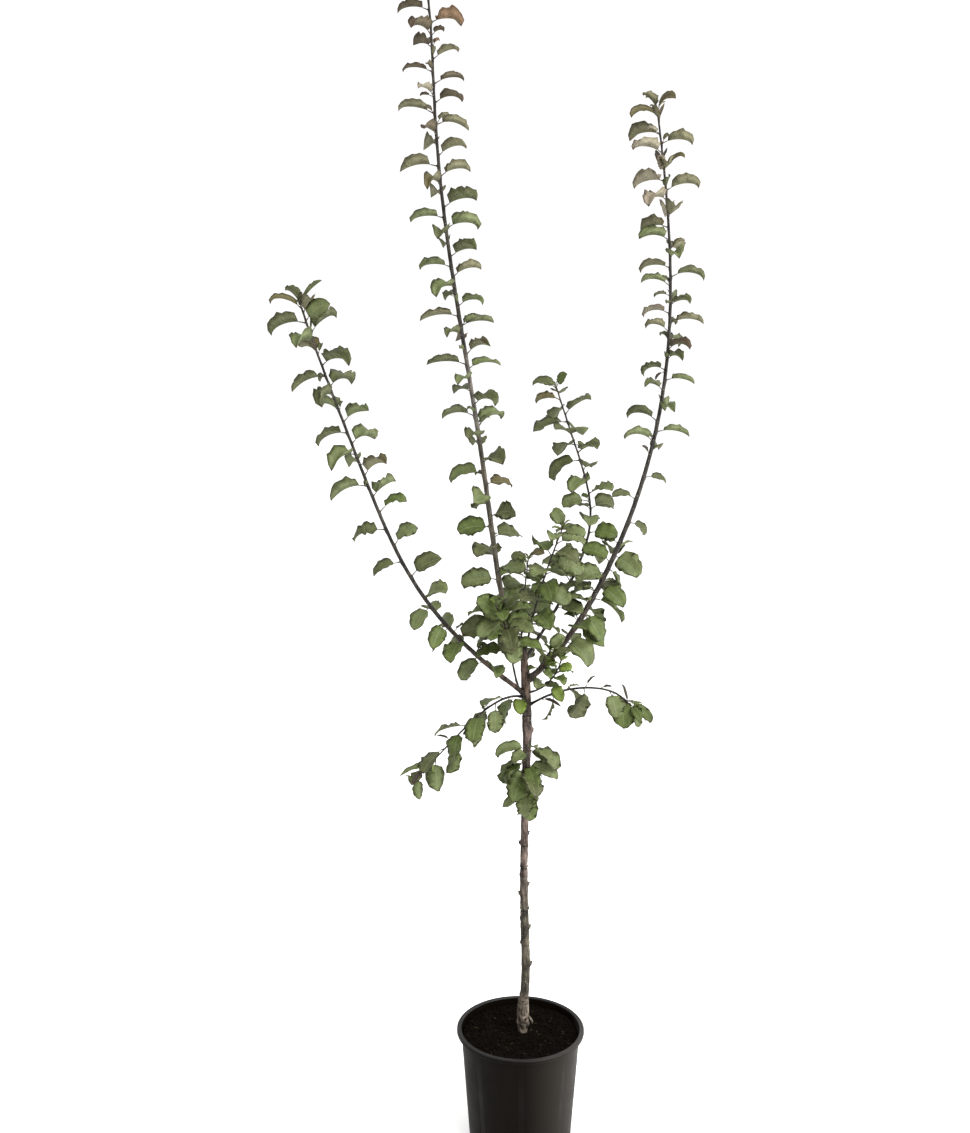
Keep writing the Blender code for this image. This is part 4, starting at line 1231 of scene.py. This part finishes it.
def pot_look(look):
    """Polypropylene, injection-moulded from recycled black: a satin skin, faintly streaked down the
    wall where the melt ran, dulled by handling in broad patches, lightened at its right and front
    as painted light, polished on its rolled lip, with a 0.9 mm grain."""
    made, tree, place = material(
        "black polypropylene, injection-moulded", 0.5, IOR=1.49, Specular_IOR_Level=0.05
    )
    base = colour(look.plastic)
    streaks = patches(tree, place, 0.012, 3.0, (1, 1, 0.08))
    stops = between(0.30, 0.70, shaded(base, 0.85), shaded(base, 1.15))
    tone = node(tree, "ValToRGB", stops=stops, Fac=streaks)
    # Painted light: the wall's colour lightens toward its right and front, where the light falls.
    sides = node(tree, "SeparateXYZ", Vector=place).outputs
    right = node(tree, "MapRange", Value=sides["X"], From_Min=0.005, From_Max=0.110)
    front = node(
        tree, "MapRange", Value=sides["Y"], From_Min=-0.02, From_Max=0.05, To_Min=1.0, To_Max=0.0
    )
    painted_light_mask = node(tree, "Math", {"operation": "MULTIPLY"}, in0=right.outputs[0], in1=front.outputs[0])
    tone = node(
        tree, "MixRGB", Fac=painted_light_mask.outputs[0], Color1=tone.outputs[0], Color2=colour(look.faded)
    )
    dull = patches(tree, place, 0.060, 4.0)
    rough = node(tree, "MapRange", Value=dull, From_Min=0.35, From_Max=0.65, To_Min=0.42, To_Max=0.54)
    inputs = tree.nodes["Principled BSDF"].inputs
    tree.links.new(rough.outputs[0], inputs["Roughness"])
    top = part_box("pot")[1].z
    shine = node(
        tree, "MapRange", Value=sides["Z"],
        From_Min=top - 0.0026, From_Max=top - 0.0006, To_Min=0.035, To_Max=0.34,
    )
    tree.links.new(shine.outputs[0], inputs["Specular IOR Level"])
    grain = patches(tree, place, 0.0009, 2.0)
    dressed(tree, tone, node(tree, "Bump", Height=grain, Distance=0.00006))
    return made


class PlumLeafSettings(bpy.types.PropertyGroup):
    """Shape and tints of the leaves."""

    rows: bpy.props.IntProperty(
        name="Rows", description="Rows of faces along each blade, two for each tooth", default=10
    )
    tooth: bpy.props.FloatProperty(
        name="Tooth", description="Teeth of the margin, as a share of the half width", default=0.045
    )
    ruffle: bpy.props.FloatProperty(
        name="Ruffle", description="Most that a margin waves, as a share of the half width",
        default=0.12,
    )
    pleat: bpy.props.FloatProperty(
        name="Pleat", description="Height of the pleats between the veins, as a share", default=0.020
    )
    thickness: bpy.props.FloatProperty(
        name="Thickness", description="Of the blade", default=0.0005, unit="LENGTH"
    )
    stalk: bpy.props.FloatProperty(
        name="Stalk", description="Thickness of a large leaf's stalk", default=0.0024, unit="LENGTH"
    )
    russet: bpy.props.StringProperty(
        name="Russet", description="sRGB hex colour of leaves that have turned", default="#5a3d29"
    )
    bronze: bpy.props.StringProperty(
        name="Bronze", description="sRGB hex colour of the sunburnt top leaves", default="#423527"
    )
    khaki: bpy.props.StringProperty(
        name="Khaki", description="sRGB hex colour of leaves that are turning", default="#4f492d"
    )
    # Painted sheen: pale grey leaves that stand for the sheen of glossy ones.
    silver: bpy.props.StringProperty(
        name="Silver", description="sRGB hex colour of leaves that shine as they turn",
        default="#807666",
    )
    # Painted light: a lighter copy of the green for leaves on which the light falls.
    light: bpy.props.StringProperty(
        name="Light", description="sRGB hex colour of leaves that face the light at the crown's middle",
        default="#57603b",
    )
    olive: bpy.props.StringProperty(
        name="Olive", description="sRGB hex colour of mature leaves in full light", default="#484c2e"
    )
    green: bpy.props.StringProperty(
        name="Green", description="sRGB hex colour of mature leaves low in the crown",
        default="#4a562a",
    )
    # Painted shade: a darker copy of the green for leaves low in the crown, where shade falls.
    shade: bpy.props.StringProperty(
        name="Shade", description="sRGB hex colour of leaves grown in shade", default="#3c4820"
    )
    young: bpy.props.StringProperty(
        name="Young", description="sRGB hex colour of leaves just out", default="#5c6c2c"
    )
    withered: bpy.props.StringProperty(
        name="Withered", description="sRGB hex colour of dead leaves that still hang",
        default="#3a302a",
    )
    underside: bpy.props.StringProperty(
        name="Underside", description="sRGB hex colour of the down that pales the underside",
        default="#93957f",
    )
    rib: bpy.props.StringProperty(
        name="Rib", description="sRGB hex colour of the midrib and stalk", default="#7f8563"
    )
    red_rib: bpy.props.StringProperty(
        name="Red rib", description="sRGB hex colour of a sunburnt leaf's rib", default="#64503f"
    )
    stalk_tint: bpy.props.StringProperty(
        name="Stalk tint", description="sRGB hex colour of the leaf stalks", default="#483e33"
    )


class PlumWoodSettings(bpy.types.PropertyGroup):
    """Tints of the bark."""

    foot: bpy.props.StringProperty(
        name="Graft foot", description="sRGB hex colour of the old bark at the foot",
        default="#7a6f62",
    )
    old: bpy.props.StringProperty(
        name="Old bark", description="sRGB hex colour of the lower trunk's greenish bark",
        default="#534d42",
    )
    trunk: bpy.props.StringProperty(
        name="Trunk", description="sRGB hex colour of the trunk's bark", default="#574b45"
    )
    head: bpy.props.StringProperty(
        name="Head", description="sRGB hex colour of the trunk's bark at the fork",
        default="#5a4b41",
    )
    bough: bpy.props.StringProperty(
        name="Bough", description="sRGB hex colour of the main boughs near the fork",
        default="#453830",
    )
    shoot: bpy.props.StringProperty(
        name="Shoot", description="sRGB hex colour of last year's shoots", default="#2b2722"
    )
    grey: bpy.props.StringProperty(
        name="Greyed shoot", description="sRGB hex colour of the leader's greyed length",
        default="#66615b",
    )
    lenticel: bpy.props.StringProperty(
        name="Lenticel", description="sRGB hex colour of the corky flecks", default="#8b8178"
    )


class PlumPotSettings(bpy.types.PropertyGroup):
    """The pot and what fills it."""

    plastic: bpy.props.StringProperty(
        name="Plastic", description="sRGB hex colour of the pot", default="#090603"
    )
    # Painted light: the lighter colour of the pot's right and front, where the light falls.
    faded: bpy.props.StringProperty(
        name="Faded", description="sRGB hex colour of the pot's sunny side", default="#2c2925"
    )
    compost: bpy.props.StringProperty(
        name="Compost", description="sRGB hex colour of damp compost", default="#0d0804"
    )
    chip: bpy.props.StringProperty(
        name="Chip", description="sRGB hex colour of bark chips and dry fibres", default="#3b3325"
    )
    crumbs: bpy.props.IntProperty(
        name="Crumbs", description="Loose crumbs on the compost", default=1500
    )
    chips: bpy.props.IntProperty(
        name="Chips", description="Chips and fibres on the compost", default=90
    )
    swell: bpy.props.FloatProperty(
        name="Swell", description="Unevenness of the compost", default=0.0018, unit="LENGTH"
    )


def outer_radius(height):
    """Radius of the pot's tapering wall at a height, on the outside."""
    share = height / (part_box("pot")[1].z - RIM_DEPTH)
    return (BASE_DIAMETER + (SHOULDER_DIAMETER - BASE_DIAMETER) * share) / 2


def eased(corners, steps=5):
    """An outline with each corner (radius, height, rounding) eased by a short parabola, and with a
    point beyond each end of it that keeps the flats flat."""
    corners = np.array(corners)
    spots = corners[:, :2]
    before = unit(np.roll(spots, 1, axis=0) - spots)[1:-1]
    after = unit(np.roll(spots, -1, axis=0) - spots)[1:-1]
    round_by = corners[1:-1, 2:]
    t = np.linspace(0, 1, steps)[:, None, None]
    middle = spots[1:-1]
    start, end = middle + before * round_by, middle + after * round_by
    curve = (1 - t) ** 2 * start + 2 * t * (1 - t) * middle + t**2 * end
    support = [middle + before * round_by * 1.5, middle + after * round_by * 1.5]
    run = np.concatenate([support[0][None], curve, support[1][None]]).transpose(1, 0, 2)
    return np.concatenate([spots[:1], run.reshape(-1, 2), spots[-1:]])


def turned_shape(profile, steps):
    """Points (row, side, 3) of an outline turned round Z, which starts and ends on the axis."""
    turn = np.linspace(0, 2 * np.pi, steps, endpoint=False)
    radius, height = profile[:, :1], profile[:, 1:]
    return np.stack(
        [radius * np.cos(turn), radius * np.sin(turn), np.broadcast_to(height, (len(profile), steps))],
        axis=-1,
    )


class PLUM_OT_pot(bpy.types.Operator):
    """Turns the pot with its rolled rim, and cuts the drain slots round its bottom corner"""

    bl_idname = "plum.pot"
    bl_label = "Pot"

    def execute(self, context):
        low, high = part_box("pot")
        rim, top = high.x, high.z
        shoulder = top - RIM_DEPTH
        under = top - ROLL_DEPTH
        inner = rim - RIM_TOP_WIDTH
        profile = eased(
            (
                (0, 0, 0),
                (outer_radius(0) - BASE_CHAMFER, 0, 0.0008),
                (outer_radius(BASE_CHAMFER), BASE_CHAMFER, 0.0012),
                (outer_radius(under), under + 0.0010, 0.0004),
                (rim - 0.0006, under, 0.0003),
                (rim, under + 0.0012, 0.0004),
                (rim, top - 0.0014, 0.0012),
                (rim - 0.0032, top, 0.0014),
                (rim - 0.0050, top - 0.0010, 0.0008),
                (inner + 0.0012, top - 0.0002, 0.0008),
                (inner - 0.0004, top - 0.0022, 0.0008),
                (outer_radius(shoulder) - WALL, shoulder - 0.004, 0.002),
                (outer_radius(WALL) - WALL, WALL, 0.001),
                (0, WALL, 0),
            )
        )
        points = turned_shape(profile, POT_STEPS)
        faces = grid_faces(tube_index(len(profile), POT_STEPS))
        pot = surface("pot_shell", points.reshape(-1, 3), faces, [pot_look(context.scene.plum_pot)])
        cutter = slot_cutter()
        cut = pot.modifiers.new("drain slots", "BOOLEAN")
        cut.operation = "DIFFERENCE"
        cut.object = cutter
        context.view_layer.update()
        graph = context.evaluated_depsgraph_get()
        pot.data = bpy.data.meshes.new_from_object(pot.evaluated_get(graph))
        pot.modifiers.clear()
        bpy.data.objects.remove(cutter, do_unlink=True)
        finished(pot, "black_polypropylene", "pot")
        return {"FINISHED"}


def slot_cutter():
    """Eight boxes in one mesh, one through the bottom corner at each slot: a box is a tube of four
    sides, so its half widths are the ring's, turned by an eighth."""
    turns = 2 * np.pi * np.arange(SLOTS) / SLOTS
    middle = outer_radius(0) - SLOT_DEPTH / 2 + WALL
    corner = np.array([(-1, -1), (1, -1), (1, 1), (-1, 1)]) / 2 * (SLOT_DEPTH, SLOT_WIDTH)
    level = np.array([-SLOT_HEIGHT, -SLOT_HEIGHT, SLOT_HEIGHT, SLOT_HEIGHT])
    scale = np.array([0, 1, 1, 0])
    out = middle + scale[:, None] * corner[:, 0]
    over = scale[:, None] * corner[:, 1]
    c, s = np.cos(turns)[:, None, None], np.sin(turns)[:, None, None]
    points = np.stack(
        [out * c - over * s, out * s + over * c, np.broadcast_to(level[:, None], (SLOTS, 4, 4))], axis=-1
    )
    points, faces = many(points.reshape(SLOTS, -1, 3), grid_faces(tube_index(4, 4)))
    return surface("drain slot cutter", points, faces, [])


def bed_height(x, y, level, swell):
    """Height of the compost at places: its level, a sum of sine waves 15 to 90 mm long, and a low
    mound against the trunk."""
    chance = chance_for("compost")
    waves = 16
    way = chance.uniform(0, 2 * np.pi, waves)[:, None]
    pitch = 2 * np.pi / chance.uniform(0.015, 0.09, waves)[:, None]
    phase = chance.uniform(0, 2 * np.pi, waves)[:, None]
    flat = np.stack([np.ravel(x), np.ravel(y)])
    run = np.cos(way) * flat[0] + np.sin(way) * flat[1]
    lumps = np.sin(pitch * run + phase).sum(axis=0) / waves**0.5
    mound = 0.0050 * np.exp(-((np.hypot(x - TRUNK[0][1], y - TRUNK[0][2]) / 0.024) ** 2))
    return level + swell * lumps.reshape(np.shape(x)) + mound


class PLUM_OT_compost(bpy.types.Operator):
    """Fills the pot with uneven compost, and scatters crumbs, chips and fibres on it"""

    bl_idname = "plum.compost"
    bl_label = "Compost"

    def execute(self, context):
        look = context.scene.plum_pot
        low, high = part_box("compost")
        level, edge = high.z, high.x - GAP
        chance = chance_for("crumbs")
        rows = np.linspace(0, 1, BED_ROWS) ** 0.8
        foot = outer_radius(low.z) - 2 * WALL
        radius = np.concatenate([rows * edge, np.linspace(edge, foot, 8)[1:], [0.0]])
        height = np.concatenate([np.full(BED_ROWS, level), np.linspace(level, low.z, 8)[1:], [low.z]])
        points = turned_shape(np.stack([radius, height], axis=1)[::-1], BED_SIDES)
        top = points[-BED_ROWS:]
        top[..., 2] = bed_height(top[..., 0], top[..., 1], level, look.swell)
        faces = grid_faces(tube_index(len(points), BED_SIDES))
        damp = flat_look("damp peat compost, crumbly", look.compost, 0.95, 0.003, 0.0012, 0.6)
        bed = surface("compost_bed", points.reshape(-1, 3), faces, [damp])
        finished(bed, "compost", "compost")

        trunk_radius = TRUNK[0][3] / 2
        crumbly = flat_look("compost crumbs, damp", look.compost, 0.9, 0.004, 0.0004, 0.5)
        fibrous = flat_look("bark chips and dry fibre", look.chip, 0.85, 0.006, 0.0002, 0.6)
        for name, count, slot_look in (
            ("compost_crumbs", look.crumbs, crumbly), ("compost_chips", look.chips, fibrous),
        ):
            chips = name == "compost_chips"
            reach = np.sqrt(chance.uniform((trunk_radius / edge) ** 2, 0.96, count)) * edge
            turn = chance.uniform(0, 2 * np.pi, count)
            x, y = reach * np.cos(turn), reach * np.sin(turn)
            z = bed_height(x, y, level, look.swell)
            size = chance.uniform(0.004, 0.012, count) if chips else chance.uniform(0.0018, 0.0062, count)
            thick = size * (chance.uniform(0.10, 0.3, count) if chips else chance.uniform(0.7, 1.2, count))
            way = chance.uniform(0, 2 * np.pi, count)
            axis = np.stack([np.cos(way), np.sin(way), chance.uniform(-0.25, 0.25, count)], axis=1)
            base = np.stack([x, y, z + thick * 0.15], axis=1) - unit(axis) * size[:, None] / 2
            rows = FIBRE_ROWS if chips else CRUMB_ROWS
            squash = chance.uniform(0.55, 1.25, (count, rows, CRUMB_SIDES))
            points, faces = spindles(base, unit(axis), size, thick, rows, CRUMB_SIDES, squash)
            finished(surface(name, points, faces, [slot_look]), "compost")
        return {"FINISHED"}


class PLUM_OT_trunk(bpy.types.Operator):
    """Makes the trunk with its knobs, graft foot and cut head"""

    bl_idname = "plum.trunk"
    bl_label = "Trunk"

    def execute(self, context):
        look = context.scene.plum_wood
        stops = [
            (0.20, look.foot), (0.27, look.foot), (0.30, look.old), (0.46, look.old),
            (0.52, look.trunk), (0.84, look.trunk), (0.88, look.head),
        ]
        looks = [
            bark_look("plum bark, three years old", stops, look.lenticel, 0.78, 0.0007, 0.75),
            flat_look("weathered cut wood", "#2e2620", 0.9, 0.003, 0.0006),
        ]
        finished(trunk_mesh(looks), "trunk_bark", "trunk")
        finished(peeling_bark(looks[0]), "trunk_bark")
        return {"FINISHED"}


class PLUM_OT_limbs(bpy.types.Operator):
    """Makes every shoot's wood from the trunk to its tip, and the buds on it"""

    bl_idname = "plum.limbs"
    bl_label = "Limbs and buds"

    def execute(self, context):
        look = context.scene.plum_wood
        shoot_stops = [(0.70, look.shoot), (2.05, look.shoot)]
        leader_stops = [
            (0.93, look.head), (1.10, look.old), (1.32, look.old), (1.37, look.grey),
            (1.45, look.grey), (1.49, look.shoot), (2.05, look.shoot),
        ]
        bough_stops = [(0.86, look.bough), (0.92, look.bough), (1.04, look.shoot), (2.05, look.shoot)]
        common = bark_look("young plum bark", shoot_stops, look.lenticel, 0.5, 0.0004, 0.8)
        browner = bark_look("plum bark, two years old", bough_stops, look.lenticel, 0.5, 0.0004, 0.8)
        greyed = bark_look("young plum bark, greyed", leader_stops, look.lenticel, 0.55, 0.0004, 0.6)
        barks = {"leader": greyed, "left": browner, "right": browner}
        nodes = []
        for index, shoot in enumerate(SHOOTS):
            piece = limb(index, barks.get(shoot.name, common))
            bough = [f"{shoot.name}_bough"] if shoot.bare else []
            finished(piece, "young_bark", *bough)
            nodes += grown(index)[1]
        nodes += knob_nodes()
        chance = chance_for("buds")
        roots = np.array([item.root for item in nodes])
        along = np.array([item.along for item in nodes])
        out = np.array([item.out for item in nodes])
        radius = np.array([item.radius for item in nodes])
        leafy = np.array([item.leafy for item in nodes])
        length = np.where(leafy, 0.0038, 0.0052) * chance.uniform(0.8, 1.25, len(nodes))
        axis = unit(along * 0.8 + out * 0.62)
        base = roots + out * (radius * 0.75)[:, None] + along * 0.0012
        points, faces = spindles(base, axis, length, length * 0.55, BUD_ROWS, BUD_SIDES)
        bud = flat_look("plum bud scales", "#4a3931", 0.55, 0.002, 0.0002)
        finished(surface("buds", points, faces, [bud]), "young_bark")
        return {"FINISHED"}


class PLUM_OT_leaves(bpy.types.Operator):
    """Grows the leaves of every shoot, their stalks and the withered leaves"""

    bl_idname = "plum.leaves"
    bl_label = "Leaves"

    def execute(self, context):
        look = context.scene.plum_leaves
        looks = leaf_looks(look)
        everything, dead = [], []
        for index, shoot in enumerate(SHOOTS):
            rule_leaves, _, names = grown(index)
            leaves = slimmed(shoot, rule_leaves)
            chance = chance_for(shoot.name + " leaves")
            small = placed_leaves(shoot, PLACED_LEAVES) + axil_leaves(shoot, rule_leaves, chance)
            tints = dealt_tints(shoot, leaves + small, chance)
            young = np.arange(len(tints)) >= len(leaves) + len(small) - 3
            low = np.array([leaf.root[2] < 1.2 for leaf in leaves + small])
            fresh = chance.random(len(tints)) < (0.5 if shoot.name == "right_twig" else 0.0)
            fresh[0] |= shoot.name == "low_left"
            tints = np.where((young | fresh) & low, YOUNG, tints)
            piece = leaf_piece(f"{shoot.name}_leaves", leaves + small, tints, looks, chance, look)
            finished(piece, leaf_slot(shoot), *names)
            everything += leaves + small
            dead += placed_leaves(shoot, WITHERED_LEAVES)
        tints = np.full(len(dead), WITHERED)
        piece = leaf_piece("withered_leaves", dead, tints, looks, chance_for("withered"), look)
        finished(piece, "young_bark")
        points, faces = stalks(everything + dead, look)
        finished(surface("leaf_stalks", points, faces, [looks[-1]]), "leaf_low")
        return {"FINISHED"}


def leaf_slot(shoot):
    """The slot for a shoot's leaves: by how high the shoot climbs."""
    return "leaf_low" if shoot.rise < 0.6 else "leaf_high"


def leaf_piece(name, leaves, tints, looks, chance, look):
    """Leaves as one mesh, each in the two materials of its tint."""
    points, faces, kind, spots = blades(leaves, chance, look)
    return surface(name, points, faces, looks, 2 * tints[:, None] + kind[None], spots)


class PLUM_OT_stage(bpy.types.Operator):
    """Sets up the pale floor, the soft light and the camera"""

    bl_idname = "plum.stage"
    bl_label = "Stage"

    def execute(self, context):
        scene = context.scene
        side = 40.0
        corners = np.array([(-side, -side, 0), (side, -side, 0), (side, side, 0), (-side, side, 0)])
        made, *_ = material(
            "matt white floor, lit from below", 0.9,
            Specular_IOR_Level=0.1, Base_Color=colour("#fdfdfc"), Emission_Strength=0.20,
        )
        floor = surface("floor", corners, np.array([[0, 1, 2, 3]]), [made])
        world = bpy.data.worlds.new("white studio")
        world.use_nodes = True
        world.node_tree.nodes["Background"].inputs["Color"].default_value = (1, 1, 1, 1)
        world.node_tree.nodes["Background"].inputs["Strength"].default_value = 1.08
        scene.world = world
        for name, place, size, watts in (
            ("key", (2.2, -2.2, 3.4), 3.0, 240), ("fill", (-2.8, -1.6, 2.2), 2.6, 12),
            ("edge", (3.0, 0.3, 0.9), 1.4, 45),
        ):
            data = bpy.data.lights.new(name, "AREA")
            data.size, data.energy = size, watts
            lamp = bpy.data.objects.new(name, data)
            scene.collection.objects.link(lamp)
            lamp.location = place
            aim = np.array([0, 0, 1.1]) - place
            turn = math.atan2(aim[1], aim[0])
            lamp.rotation_euler = (math.acos(-aim[2] / np.linalg.norm(aim)), 0, turn - math.pi / 2)
        data = bpy.data.cameras.new("camera")
        data.sensor_width, data.lens = SENSOR, FOCAL_LENGTH
        camera = bpy.data.objects.new("camera", data)
        scene.collection.objects.link(camera)
        camera.location = CAMERA_PLACE
        camera.rotation_euler = (math.radians(CAMERA_TILT), 0, 0)
        scene.camera = camera
        scene.view_settings.view_transform = "Standard"
        return {"FINISHED"}


class PLUM_PT_panel(bpy.types.Panel):
    """Lists the steps and their settings in the sidebar"""

    bl_idname = "PLUM_PT_panel"
    bl_label = "Potted plum"
    bl_space_type = "VIEW_3D"
    bl_region_type = "UI"
    bl_category = "Plum"

    def draw(self, context):
        for step in STEPS:
            self.layout.operator(step.bl_idname)
        for group in ("plum_leaves", "plum_wood", "plum_pot"):
            settings = getattr(context.scene, group)
            box = self.layout.box()
            for name in settings.__annotations__:
                box.prop(settings, name)


STEPS = (PLUM_OT_pot, PLUM_OT_compost, PLUM_OT_trunk, PLUM_OT_limbs, PLUM_OT_leaves, PLUM_OT_stage)
SETTINGS = {
    "plum_leaves": PlumLeafSettings, "plum_wood": PlumWoodSettings, "plum_pot": PlumPotSettings,
}


def register():
    for kind in (*SETTINGS.values(), *STEPS, PLUM_PT_panel):
        bpy.utils.register_class(kind)
    for name, group in SETTINGS.items():
        setattr(bpy.types.Scene, name, bpy.props.PointerProperty(type=group))


def unregister():
    for name in SETTINGS:
        delattr(bpy.types.Scene, name)
    for kind in (PLUM_PT_panel, *STEPS, *SETTINGS.values()):
        bpy.utils.unregister_class(kind)


def main():
    """Runs every step."""
    register()
    for step in STEPS:
        group, name = step.bl_idname.split(".")
        getattr(getattr(bpy.ops, group), name)()


if __name__ == "__main__":
    main()
